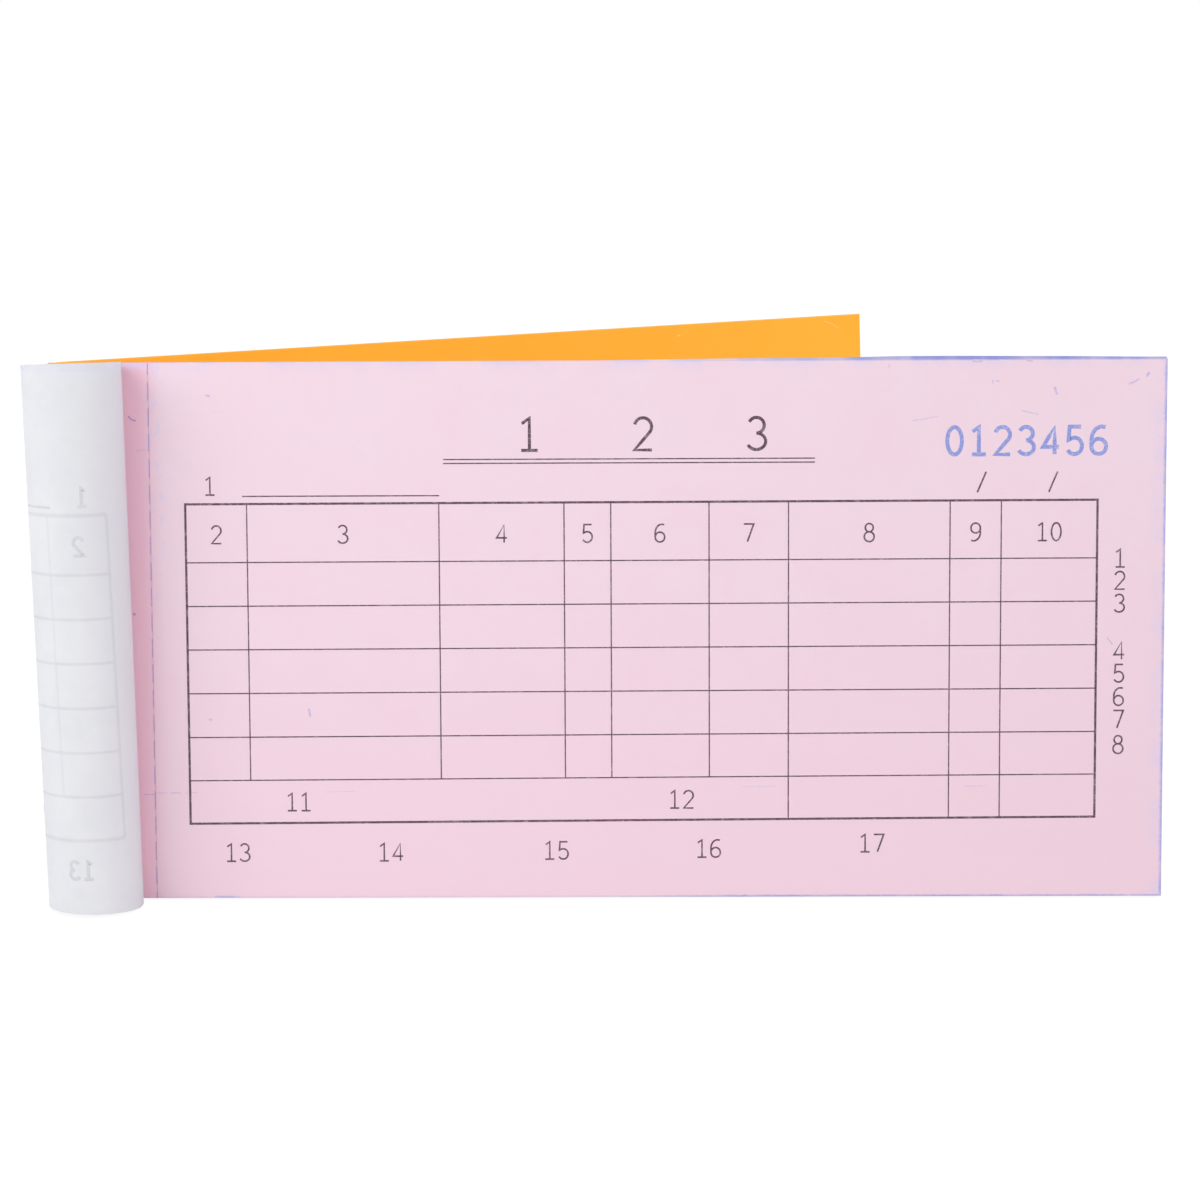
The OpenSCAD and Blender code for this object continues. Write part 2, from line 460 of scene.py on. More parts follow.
def numerals(text: str, left: float, foot: float, tall: float, step: float) -> List[Stroke]:
    """Sets numbers in strokes.

    Args:
        text: Digits to set.
        left: Left side of the first digit.
        foot: Height of their foot.
        tall: Their height.
        step: Distance from one digit to the next.

    Returns:
        The strokes, in leaf millimetres.
    """
    return [
        [(left + i * step + x * tall, foot + z * tall) for x, z in stroke]
        for i, digit in enumerate(text)
        for stroke in DIGITS[digit]
    ]


@dataclass(frozen=True)
class FormLayout:
    """Places of the ruled form on a leaf, in millimetres from the bound edge and the foot."""

    columns: Tuple[float, ...] = (
        20.81, 30.49, 60.79, 80.50, 87.86, 103.32, 115.82, 141.20, 149.24, 164.31,
    )
    rows_left: Tuple[float, ...] = (62.71, 53.48, 46.56, 39.65, 32.69, 25.70, 18.79, 11.90)
    rows_right: Tuple[float, ...] = (62.90, 53.76, 46.93, 40.04, 33.15, 26.28, 19.48, 12.68)
    total_columns: Tuple[int, ...] = (0, 6, 7, 8, 9)
    title_line: Point = (61.53, 119.96)
    title_heights: Point = (69.60, 68.98)
    name_line: Point = (29.82, 60.86)
    name_height: float = 63.93
    thin: float = 0.2
    heavy: float = 0.36
    figure_tall: float = 3.1
    figure_step: float = 2.2
    figure_width: float = 0.27
    name_figure: Point = (23.8, 64.0)
    head_height: float = 57.9
    total_figures: Tuple[Point, ...] = ((38.1, 15.35), (98.9, 15.6))
    sign_figures: Tuple[Point, ...] = (
        (28.3, 7.25), (52.65, 7.25), (79.0, 7.45), (103.2, 7.7), (129.1, 8.5),
    )
    slashes: Tuple[Point, ...] = ((145.2, 64.2), (156.4, 64.2))
    copy_x: float = 167.0
    copy_heights: Tuple[float, ...] = (53.7, 50.2, 46.6, 39.1, 35.5, 31.8, 28.2, 24.2)
    title_place: Point = (73.4, 70.7)
    title_tall: float = 5.6
    title_step: float = 17.9
    title_width: float = 0.5
    serial_place: Point = (140.4, 69.83)
    serial_tall: float = 4.77
    serial_step: float = 3.76
    serial_width: float = 0.62

    @property
    def sides(self) -> Point:
        """Left and right side of the table."""
        return self.columns[0], self.columns[-1]

    def across(self, x: Value) -> Value:
        """Gives the share of the table's width at an x."""
        left, right = self.sides
        return (x - left) / (right - left)

    def row(self, number: int, x: float) -> float:
        """Gives the height of a ruled row at an x."""
        left, right = self.rows_left[number], self.rows_right[number]
        return left + self.across(x) * (right - left)

    def rules(self) -> List[Mark]:
        """Draws the form's lines.

        Returns:
            The lines with their widths, the line for the name last.
        """
        last = len(self.rows_left) - 1
        marks: List[Mark] = []
        for r in range(last + 1):
            width = self.heavy if r in (0, last) else self.thin
            marks.append(([(x, self.row(r, x)) for x in self.sides], width))
        for c, x in enumerate(self.columns):
            foot = last if c in self.total_columns else last - 1
            width, over = (self.heavy, self.heavy / 2) if x in self.sides else (self.thin, 0.0)
            marks.append(([(x, self.row(foot, x) - over), (x, self.row(0, x) + over)], width))
        for height in self.title_heights:
            marks.append(([(x, height) for x in self.title_line], self.thin))
        marks.append(([(x, self.name_height) for x in self.name_line], self.thin))
        return marks

    def figures(self) -> List[Mark]:
        """Sets plain numbers at the form's fields.

        Returns:
            Their strokes with their widths.
        """
        tall, step = self.figure_tall, self.figure_step
        heads = [((a + b) / 2, self.head_height) for a, b in zip(self.columns, self.columns[1:])]
        strokes = numerals("1", *self.name_figure, tall, step)
        for number, (x, z) in enumerate([*heads, *self.total_figures, *self.sign_figures], start=2):
            text = str(number)
            wide = (len(text) - 1) * step + DIGIT_WIDE * tall
            strokes += numerals(text, x - wide / 2, z - tall / 2, tall, step)
        for x, z in self.slashes:
            strokes += numerals("/", x, z, tall, step)
        for digit, z in zip("12345678", self.copy_heights):
            strokes += numerals(digit, self.copy_x, z - tall / 2, tall, step)
        title = numerals("123", *self.title_place, self.title_tall, self.title_step)
        return [(s, self.figure_width) for s in strokes] + [(s, self.title_width) for s in title]

    def serial(self) -> List[Mark]:
        """Gives the running number, with its widths."""
        strokes = numerals("0123456", *self.serial_place, self.serial_tall, self.serial_step)
        return [(stroke, self.serial_width) for stroke in strokes]


FORM = FormLayout()
TURNED_PRINT: Point = (0.5, 0.0)


@dataclass(frozen=True)
class Perforation:
    """Row of slits along which a leaf tears off."""

    first_top: float = 86.0
    pitch: float = 4.05
    length: float = 2.9
    width: float = 0.03
    shortest: float = 0.3
    stain_off: float = 0.08
    stain_fade: float = 0.05

    def slits(self) -> List[Opening]:
        """Cuts the row off at the ends of the leaf.

        Returns:
            The slits, without bits too short to see.
        """
        left, right = BOOK.perf_x - self.width / 2, BOOK.perf_x + self.width / 2
        count = math.ceil(self.first_top / self.pitch)
        tops = [self.first_top - i * self.pitch for i in range(count)]
        spans = [(max(top - self.length, 0.0), min(top, BOOK.leaf_h)) for top in tops]
        return [(left, right, low, high) for low, high in spans if high - low > self.shortest]


PERFORATION = Perforation()


CUT_FACE: Point = (0.004, 0.02)
PAPER_IOR = 1.4


def cut_face(side: Wire) -> Wire:
    """Gives 1 on a sheet's cut edges, between 0 on its front and 1 on its back."""
    return (side * (1.0 - side)).step(*CUT_FACE)


def mingled(first: Wire, second: Wire, share: float) -> Wire:
    """Gives a share of the first noise and the rest of the second."""
    return first * share + second * (1.0 - share)


@dataclass(frozen=True)
class Border:
    """A ragged border: where a stain is gone and full, and how far a noise shifts both."""

    gone: float
    full: float
    ragged: float

    def on(self, distance: Wire, noise: Wire) -> Wire:
        """Gives the stain's share at a distance from the edge."""
        return (distance + noise * self.ragged).step(self.gone, self.full)


@dataclass(frozen=True)
class StainLayout:
    """Where ink capsules break on a leaf: spans from clean to stained, and strengths."""

    along: Point = (95.0, 140.0)
    along_least: float = 0.3
    worn: Point = (0.34, 0.6)
    worn_least: float = 0.6
    top_rim: Border = Border(0.42, 0.14, 0.2)
    free_rim: Border = Border(0.85, 0.3, 0.5)
    foot_rim: Border = Border(0.52, 0.2, 0.3)
    foot_along: Point = (85.0, 110.0)
    foot_least: float = 0.15
    rim_share: float = 0.8
    haze: Border = Border(5.2, 0.4, 3.0)
    haze_patch: Point = (0.36, 0.66)
    haze_share: float = 0.62
    top_narrower: float = 1.7
    slit: Point = (0.16, 0.06)
    slit_ragged: Point = (0.3, 0.6)
    slit_least: float = 0.6
    beside_off: float = 1.0
    beside: Point = (1.9, 0.3)
    beside_smear: Point = (0.5, 0.68)
    beside_height: Point = (35.0, 60.0)
    beside_least: float = 0.3
    beside_share: float = 0.6
    crest: Border = Border(1.6, 0.8, 0.6)
    crest_margin: Point = (17.5, 14.5)
    crest_share: float = 0.45
    scuff: Point = (0.69, 0.78)
    scuff_patch: Point = (0.5, 0.62)
    scuff_share: float = 0.4
    veil_most: float = 0.85


STAIN = StainLayout()


@dataclass(frozen=True)
class PaperFinish:
    """Carbonless paper, with its cut edges and scuffs stained by broken ink capsules, and optional
    painted shade.
    """

    name: str
    tint: Colour
    shade: Colour
    fleck: Colour
    stain: Colour = srgb(143, 153, 222)
    haze: Colour = srgb(214, 206, 238)
    slit_stain: Colour = srgb(200, 168, 220)
    print_behind: Colour = srgb(150, 150, 160)
    torn_stain: float = 0.9
    form_behind: float = 0.0
    behind: Point = (0.0, 0.0)
    # foot is painted shade: the paper's colour towards the foot and the free end, where less light
    # falls.
    foot: Optional[Colour] = None
    # margin is painted shade: the paper's colour by the bound edge, where the roll shades it.
    margin: Optional[Colour] = None
    margin_span: Point = (17.6, 13.2)
    edge_stain: float = 1.0
    mottle_share: float = 0.7
    mottle_span: Point = (0.3, 0.7)
    foot_span: Point = (80.0, -20.0)
    foot_slope: float = 0.1
    tinge: float = 0.9
    fleck_span: Point = (0.56, 0.78)
    fleck_share: float = 0.35
    line_blur: Point = (0.36, 0.06)
    heavy_blur: Point = (0.5, 0.06)
    thin_share: float = 0.5
    back_span: Point = (0.5, 0.9)
    behind_cloud: Point = (0.6, 0.5)
    rough: Point = (0.72, 0.12)
    relief: Point = (0.012, 0.006)
    bump: float = 0.35

    def material(self) -> Finish:
        """Builds the paper's nodes.

        Returns:
            The material.
        """
        g = Graph(bpy.data.materials.new(self.name))
        leaf = g.leaf()
        x, z, _ = leaf.split()
        mottle, cloud = PAPER_MOTTLE.on(leaf), PAPER_CLOUD.on(leaf)
        fibre, grit = PAPER_FIBRE.on(leaf), PAPER_GRIT.on(leaf)
        mottled = mingled(mottle, cloud, self.mottle_share).step(*self.mottle_span)
        colour = mottled.mix(self.tint, self.shade)
        if self.foot is not None:
            # Painted shade: the paper darker towards the foot and the free end.
            low = (z - x * self.foot_slope).step(*self.foot_span)
            colour = (low * self.tinge).mix(colour, self.foot)
        # Painted shade by the bound edge, where the roll casts its shadow on the leaf.
        if self.margin is not None:
            colour = (x.step(*self.margin_span) * self.tinge).mix(colour, self.margin)
        colour = (fibre.step(*self.fleck_span) * self.fleck_share).mix(colour, self.fleck)
        if self.form_behind:
            behind = self.seen_through(leaf, cloud) * self.form_behind
            colour = behind.mix(colour, self.print_behind)
        colour = self.stained(colour, leaf)
        rough = self.rough[0] + cloud * self.rough[1]
        height = fibre * self.relief[0] + grit * self.relief[1]
        sockets = {"Base Color": colour, "Roughness": rough, "IOR": PAPER_IOR}
        return g.surface(sockets, height, self.bump)

    def stained(self, colour: Wire, leaf: Wire) -> Wire:
        """Adds the ink stain at the edges, the perforation and in scuffs.

        Args:
            colour: Colour of the clean paper.
            leaf: Place on the flat leaf.

        Returns:
            The stained colour.
        """
        x, z, side = leaf.split()
        patch, ragged = STAIN_PATCH.on(leaf), STAIN_RAGGED.on(leaf)
        smear, scuff = STAIN_SMEAR.on(leaf), STAIN_SCUFF.on(leaf)
        from_free, from_top = BOOK.leaf_w - x, BOOK.leaf_h - z
        along = x.rise(STAIN.along, STAIN.along_least)
        worn = patch.rise(STAIN.worn, STAIN.worn_least)
        cut = cut_face(side) * along * worn
        top_rim = STAIN.top_rim.on(from_top, ragged) * along
        free_rim = STAIN.free_rim.on(from_free, ragged)
        foot_rim = STAIN.foot_rim.on(z, ragged) * x.rise(STAIN.foot_along, STAIN.foot_least)
        rim = top_rim.most(free_rim).most(foot_rim) * worn
        side_edge = from_free.least(from_top * STAIN.top_narrower)
        haze = STAIN.haze.on(side_edge, ragged) * patch.step(*STAIN.haze_patch)
        dash = (PERFORATION.first_top - z) % PERFORATION.pitch
        fade = PERFORATION.stain_fade
        on_dash = dash.step(PERFORATION.length + fade, PERFORATION.length - fade)
        from_seam = abs(x - BOOK.perf_x + PERFORATION.stain_off)
        slit = from_seam.step(*STAIN.slit) * on_dash
        slit = slit * ragged.rise(STAIN.slit_ragged, STAIN.slit_least)
        beside = abs(x - BOOK.perf_x - STAIN.beside_off).step(*STAIN.beside)
        beside = beside * smear.step(*STAIN.beside_smear)
        beside = beside * z.rise(STAIN.beside_height, STAIN.beside_least) * self.torn_stain
        crest = STAIN.crest.on(from_top, ragged) * x.step(*STAIN.crest_margin) * self.torn_stain
        marks = scuff.step(*STAIN.scuff) * patch.step(*STAIN.scuff_patch)
        veil = haze * STAIN.haze_share + beside * STAIN.beside_share
        veil = (veil + crest * STAIN.crest_share + marks * STAIN.scuff_share).least(STAIN.veil_most)
        colour = (slit * self.torn_stain).mix(veil.mix(colour, self.haze), self.slit_stain)
        return (cut.most(rim * STAIN.rim_share) * self.edge_stain).mix(colour, self.stain)

    def seen_through(self, leaf: Wire, cloud: Wire) -> Wire:
        """Gives the form's ruling as it shows faintly on the back of the leaf.

        Args:
            leaf: Place on the flat leaf.
            cloud: Noise that breaks up the ruling.

        Returns:
            The strength of the ruling, up to about 1.
        """
        def soft(value: Wire, place: float, heavy: bool) -> Wire:
            """Gives a blurred line at a place."""
            return abs(value - place).step(*(self.heavy_blur if heavy else self.line_blur))

        x, z, side = leaf.split()
        x, z = x - self.behind[0], z - self.behind[1]
        columns: Value = 0.0
        for number, place in enumerate(FORM.columns):
            outer = place in FORM.sides
            foot = FORM.rows_left[-1 if number in FORM.total_columns else -2]
            half = (FORM.rows_left[0] - foot) / 2
            line = soft(x, place, outer) * z.near(foot + half, half)
            columns = line * (1.0 if outer else self.thin_share) + columns
        rows: Value = 0.0
        share = FORM.across(x)
        for left, right in zip(FORM.rows_left, FORM.rows_right):
            heavy = left in (FORM.rows_left[0], FORM.rows_left[-1])
            rows = soft(z - share * (right - left), left, heavy) + rows
        middle = sum(FORM.sides) / 2
        rows = rows * x.near(middle, FORM.columns[-1] - middle)
        on_back = (columns + rows).least(1.0) * side.step(*self.back_span)
        return on_back * (self.behind_cloud[0] + cloud * self.behind_cloud[1])


@dataclass(frozen=True)
class CardFinish:
    """Dyed cover card with a faint calendered sheen, paler where its edges are cut, with a painted
    highlight in a band along its edges.
    """

    name: str = "dyed_card"
    tint: Colour = srgb(255, 185, 48)
    shade: Colour = srgb(255, 182, 42)
    core: Colour = srgb(255, 212, 110)
    length: float = BOOK.leaf_w + 10.0
    mottle_span: Point = (0.32, 0.68)
    fleck_span: Point = (0.58, 0.8)
    fleck_share: float = 0.22
    # rim and rim_share give the painted highlight along the card's free end, top and foot.
    rim: Border = Border(0.55, 0.15, 0.4)
    rim_share: float = 0.5
    cut_share: float = 0.6
    gloss: float = 0.25
    rough: Point = (0.5, 0.16)
    relief: Point = (0.014, 0.008)
    bump: float = 0.3

    def material(self) -> Finish:
        """Builds the card's nodes.

        Returns:
            The material.
        """
        g = Graph(bpy.data.materials.new(self.name))
        leaf = g.leaf()
        x, z, side = leaf.split()
        fibre, grit = CARD_FIBRE.on(leaf), CARD_GRIT.on(leaf)
        colour = CARD_MOTTLE.on(leaf).step(*self.mottle_span).mix(self.shade, self.tint)
        colour = (fibre.step(*self.fleck_span) * self.fleck_share).mix(colour, self.core)
        # Painted highlight: a paler band along the free end, top and foot; the cut faces are the
        # card's paler core.
        edge = (self.length - x).least(BOOK.leaf_h - z).least(z)
        worn = self.rim.on(edge, grit) * self.rim_share
        colour = worn.most(cut_face(side) * self.cut_share).mix(colour, self.core)
        rough = self.rough[0] + fibre * self.rough[1]
        height = fibre * self.relief[0] + grit * self.relief[1]
        sockets = {"Base Color": colour, "Roughness": rough, "Specular IOR Level": self.gloss}
        return g.surface(sockets, height, self.bump)


@dataclass(frozen=True)
class WireFinish:
    """Galvanised staple wire with fine drawing lines along it."""

    name: str = "galvanised_wire"
    bright: Colour = srgb(206, 207, 211)
    dull: Colour = srgb(158, 160, 166)
    bloom_share: float = 0.6
    bloom_span: Point = (0.35, 0.65)
    rough: Point = (0.28, 0.22)
    relief: float = 0.01
    bump: float = 0.25

    def material(self) -> Finish:
        """Builds the wire's nodes.

        Returns:
            The material.
        """
        g = Graph(bpy.data.materials.new(self.name))
        place = g.node("ShaderNodeTexCoord", out="Object")
        lines, bloom = WIRE_LINES.on(place), WIRE_BLOOM.on(place)
        clouded = mingled(bloom, lines, self.bloom_share).step(*self.bloom_span)
        colour = clouded.mix(self.dull, self.bright)
        rough = self.rough[0] + lines * self.rough[1]
        sockets = {"Base Color": colour, "Metallic": 1.0, "Roughness": rough}
        return g.surface(sockets, lines * self.relief, self.bump)


@dataclass(frozen=True)
class InkFinish:
    """Printing ink that lets the paper through where the fibres stand up."""

    name: str
    ink: Colour
    paper: Colour
    gaps: float
    grain: float
    cloud_scale: float = 0.2
    grain_share: float = 0.7
    bare_span: Point = (0.47, 0.66)
    rough: Point = (0.6, 0.2)
    relief: float = 0.006
    bump: float = 0.2

    def material(self) -> Finish:
        """Builds the ink's nodes.

        Returns:
            The material.
        """
        g = Graph(bpy.data.materials.new(self.name))
        leaf = g.leaf()
        grain = Grain(self.grain, rough=0.7).on(leaf)
        cloud = Grain(self.grain * self.cloud_scale, 2.0, 0.5).on(leaf)
        bare = mingled(grain, cloud, self.grain_share).step(*self.bare_span) * self.gaps
        rough = self.rough[0] + grain * self.rough[1]
        colour = bare.mix(self.ink, self.paper)
        sockets = {"Base Color": colour, "Roughness": rough, "IOR": PAPER_IOR}
        return g.surface(sockets, grain * self.relief, self.bump)


class Palette:
    """The finishes of the book, each built once."""

    def __init__(self) -> None:
        """Builds every finish."""
        def ink(name: str, colour: Colour, paper: Colour, gaps: float, grain: float) -> Finish:
            """Builds an ink on its paper."""
            return InkFinish(name, colour, paper, gaps, grain).material()

        pink, white = srgb(238, 214, 227), srgb(241, 241, 245)
        # The pink's foot and margin colours are painted shade, towards the foot and beside the
        # roll.
        self.pink = PaperFinish(
            "pink_leaf", pink, srgb(238, 211, 223), srgb(247, 231, 239),
            foot=srgb(238, 208, 221), margin=srgb(240, 190, 208),
        ).material()
        self.white = PaperFinish(
            "white_leaf", white, srgb(235, 236, 240), srgb(250, 250, 252),
            haze=srgb(222, 222, 243), form_behind=0.32,
        ).material()
        # The turned leaf is the white paper painted greyer as shade of the hollow behind the roll,
        # and painted darker still by the bound edge as shade on the roll's right side.
        self.turned = PaperFinish(
            "turned_leaf_painted_shade", srgb(225, 226, 230), srgb(219, 220, 225), srgb(234, 234, 237),
            haze=srgb(220, 220, 234), torn_stain=0.0, form_behind=0.2, behind=TURNED_PRINT,
            margin=srgb(205, 204, 211), margin_span=(29.0, 16.0), edge_stain=0.2,
        ).material()
        self.card = CardFinish().material()
        self.wire = WireFinish().material()
        # The stub scuffs' paper is the pink of the painted shade beside the roll; the ghost's paper
        # is the turned leaf's painted grey.
        margin, turned = srgb(240, 192, 210), srgb(221, 222, 227)
        worn_card, thin_ink = srgb(255, 190, 66), srgb(205, 198, 233)
        self.ruling = ink("ruling_ink", srgb(86, 62, 76), pink, 0.4, 4.0)
        self.ruling_white = ink("ruling_ink_on_white", srgb(74, 66, 74), white, 0.3, 4.0)
        self.ghost = ink("show_through", srgb(205, 207, 213), turned, 0.6, 2.0)
        self.scuff = ink("scuff_ink", srgb(198, 184, 224), pink, 0.7, 2.0)
        self.stub_scuff = ink("stub_scuff_ink", srgb(190, 154, 196), margin, 0.7, 2.0)
        self.scratch = ink("card_scratch", srgb(255, 214, 136), worn_card, 0.4, 2.0)
        self.serial = ink("numbering_ink", srgb(140, 151, 216), thin_ink, 0.75, 2.2)


def placed(name: str, data: bpy.types.ID) -> Piece:
    """Puts a new object into the scene.

    Args:
        name: Its name.
        data: Its mesh, camera or lamp.

    Returns:
        The object.
    """
    made = bpy.data.objects.new(name, data)
    bpy.context.scene.collection.objects.link(made)
    return made


@dataclass
class Mesh:
    """Vertices, faces and leaf coordinates that gather into one piece."""

    points: List[Array] = field(default_factory=list)
    faces: List[Tuple[int, ...]] = field(default_factory=list)
    leaf: List[Array] = field(default_factory=list)
    count: int = 0

    def add(self, points: Array, faces: Sequence[Sequence[int]], leaf: Array) -> None:
        """Adds a shell.

        Args:
            points: Its vertices, in pad millimetres.
            faces: Numbers of each face's vertices.
            leaf: Places of the vertices on the flat leaf.
        """
        self.points.append(np.asarray(points, float))
        self.leaf.append(np.asarray(leaf, float))
        self.faces.extend(tuple(int(i) + self.count for i in face) for face in faces)
        self.count += len(points)

    def piece(
        self, name: str, material: Finish, role: Role = Role(), sharp: float = 35.0,
    ) -> Piece:
        """Makes the piece, shaded smooth apart from its sharp edges.

        Args:
            name: Name of the piece.
            material: Its finish.
            role: What it is to the frame.
            sharp: Angle above which an edge stays sharp, in degrees.

        Returns:
            The new object, in the frame's metres.
        """
        data = bpy.data.meshes.new(name)
        data.from_pydata(BOOK.world(np.concatenate(self.points)).tolist(), [], self.faces)
        data.polygons.foreach_set("use_smooth", [True] * len(data.polygons))
        data.set_sharp_from_angle(angle=math.radians(sharp))
        coords = data.attributes.new(LEAF_COORDS, "FLOAT_VECTOR", "POINT")
        coords.data.foreach_set("vector", np.concatenate(self.leaf).astype(np.float32).ravel())
        data.materials.append(material)
        data.validate()
        piece = placed(name, data)
        role.give(piece)
        return piece


@dataclass
class Sheet:
    """A sheet of paper or card, as rows and columns of points on its middle surface."""

    points: Array
    flat: Array
    thickness: float
    keep: Optional[Array] = None

    @property
    def normals(self) -> Array:
        """Directions out of the sheet's front at its points."""
        return unit(np.cross(np.gradient(self.points, axis=1), np.gradient(self.points, axis=0)))

    def over(self, flat: Array, lift: Array, back: bool = False) -> Array:
        """Gives points over one face of the bent sheet.

        Args:
            flat: Places on the flat sheet.
            lift: Height of each point over the face.
            back: Whether the face is the back.

        Returns:
            The points in pad millimetres.
        """
        rows, columns = self.points.shape[:2]
        out = -self.normals if back else self.normals
        face = self.points + out * self.thickness / 2
        found = []
        middle = self.flat[rows // 2, :, 0]
        for (x, z), height in zip(flat, lift):
            nearest = min(int(np.searchsorted(middle, x)), columns - 1)
            level = np.interp(z, self.flat[:, nearest, 1], np.arange(rows))
            r = min(int(level), rows - 2)
            ends = []
            for row in (r, r + 1):
                place = np.interp(x, self.flat[row, :, 0], np.arange(columns))
                c = min(int(place), columns - 2)
                pair = face[row, c:c + 2] + height * out[row, c:c + 2]
                ends.append(pair[0] + (place - c) * (pair[1] - pair[0]))
            found.append(ends[0] + (level - r) * (ends[1] - ends[0]))
        return np.array(found)

    def onto(self, mesh: Mesh) -> Mesh:
        """Adds the sheet to a mesh as a closed shell, with its holes cut.

        Args:
            mesh: The mesh to add to.

        Returns:
            The same mesh.
        """
        rows, columns = self.points.shape[:2]
        half = self.normals * self.thickness / 2
        back = rows * columns
        skins = (self.points + half, self.points - half)
        both = np.concatenate([skin.reshape(-1, 3) for skin in skins])
        flat = self.flat.reshape(-1, 2)
        leaf = np.concatenate([np.c_[flat, np.zeros(back)], np.c_[flat, np.ones(back)]])
        keep = np.ones((rows - 1, columns - 1), bool) if self.keep is None else self.keep
        index = np.arange(back).reshape(rows, columns)
        around = np.zeros((rows + 1, columns + 1), bool)
        around[1:-1, 1:-1] = keep
        faces: List[Tuple[int, ...]] = []
        for r, c in zip(*np.nonzero(keep)):
            a, b, d, e = index[r, c], index[r, c + 1], index[r + 1, c + 1], index[r + 1, c]
            faces += [(a, b, d, e), (e + back, d + back, b + back, a + back)]
            sides = (
                (a, b, around[r, c + 1]), (b, d, around[r + 1, c + 2]),
                (d, e, around[r + 2, c + 1]), (e, a, around[r + 1, c]),
            )
            faces.extend((q, p, p + back, q + back) for p, q, joined in sides if not joined)
        used = np.unique(np.concatenate([np.array(face) for face in faces]))
        new = np.full(len(both), -1)
        new[used] = np.arange(len(used))
        mesh.add(both[used], [new[list(face)] for face in faces], leaf[used])
        return mesh


def stops(places: Sequence[float], longest: float) -> Array:
    """Sorts breaks along a sheet and fills long stretches between them.

    Args:
        places: Breaks that the grid must have.
        longest: Greatest stretch between two columns or rows.

    Returns:
        The grid's places.
    """
    breaks = sorted(set(round(p, 5) for p in places))
    filled = [breaks[0]]
    for low, high in zip(breaks, breaks[1:]):
        parts = max(1, math.ceil((high - low) / longest))
        filled.extend(low + (high - low) * (i + 1) / parts for i in range(parts))
    return np.array(filled)


def sides_of(openings: Sequence[Opening], axis: int) -> List[float]:
    """Gives the openings' low and high sides along x, axis 0, or z, axis 1."""
    return [side for opening in openings for side in opening[2 * axis:2 * axis + 2]]


def uncut(xs: Array, zs: Array, openings: Sequence[Opening]) -> Array:
    """Tells which cells of a grid lie in no opening.

    Args:
        xs: Places of the grid's columns.
        zs: Places of its rows.
        openings: Openings with their sides on the grid.

    Returns:
        True for every cell that stays, by row and column.
    """
    mid_x, mid_z = (xs[1:] + xs[:-1]) / 2, (zs[1:] + zs[:-1]) / 2
    keep = np.ones((len(mid_z), len(mid_x)), bool)
    for x0, x1, z0, z1 in openings:
        keep &= ~(((mid_x > x0) & (mid_x < x1))[None, :] & ((mid_z > z0) & (mid_z < z1))[:, None])
    return keep


def lengths_along(grid: Array) -> Array:
    """Gives the way along each row of a grid of points, from 0 at its first column."""
    steps = np.linalg.norm(np.diff(grid, axis=1), axis=2)
    return np.concatenate([np.zeros((len(grid), 1)), np.cumsum(steps, axis=1)], axis=1)


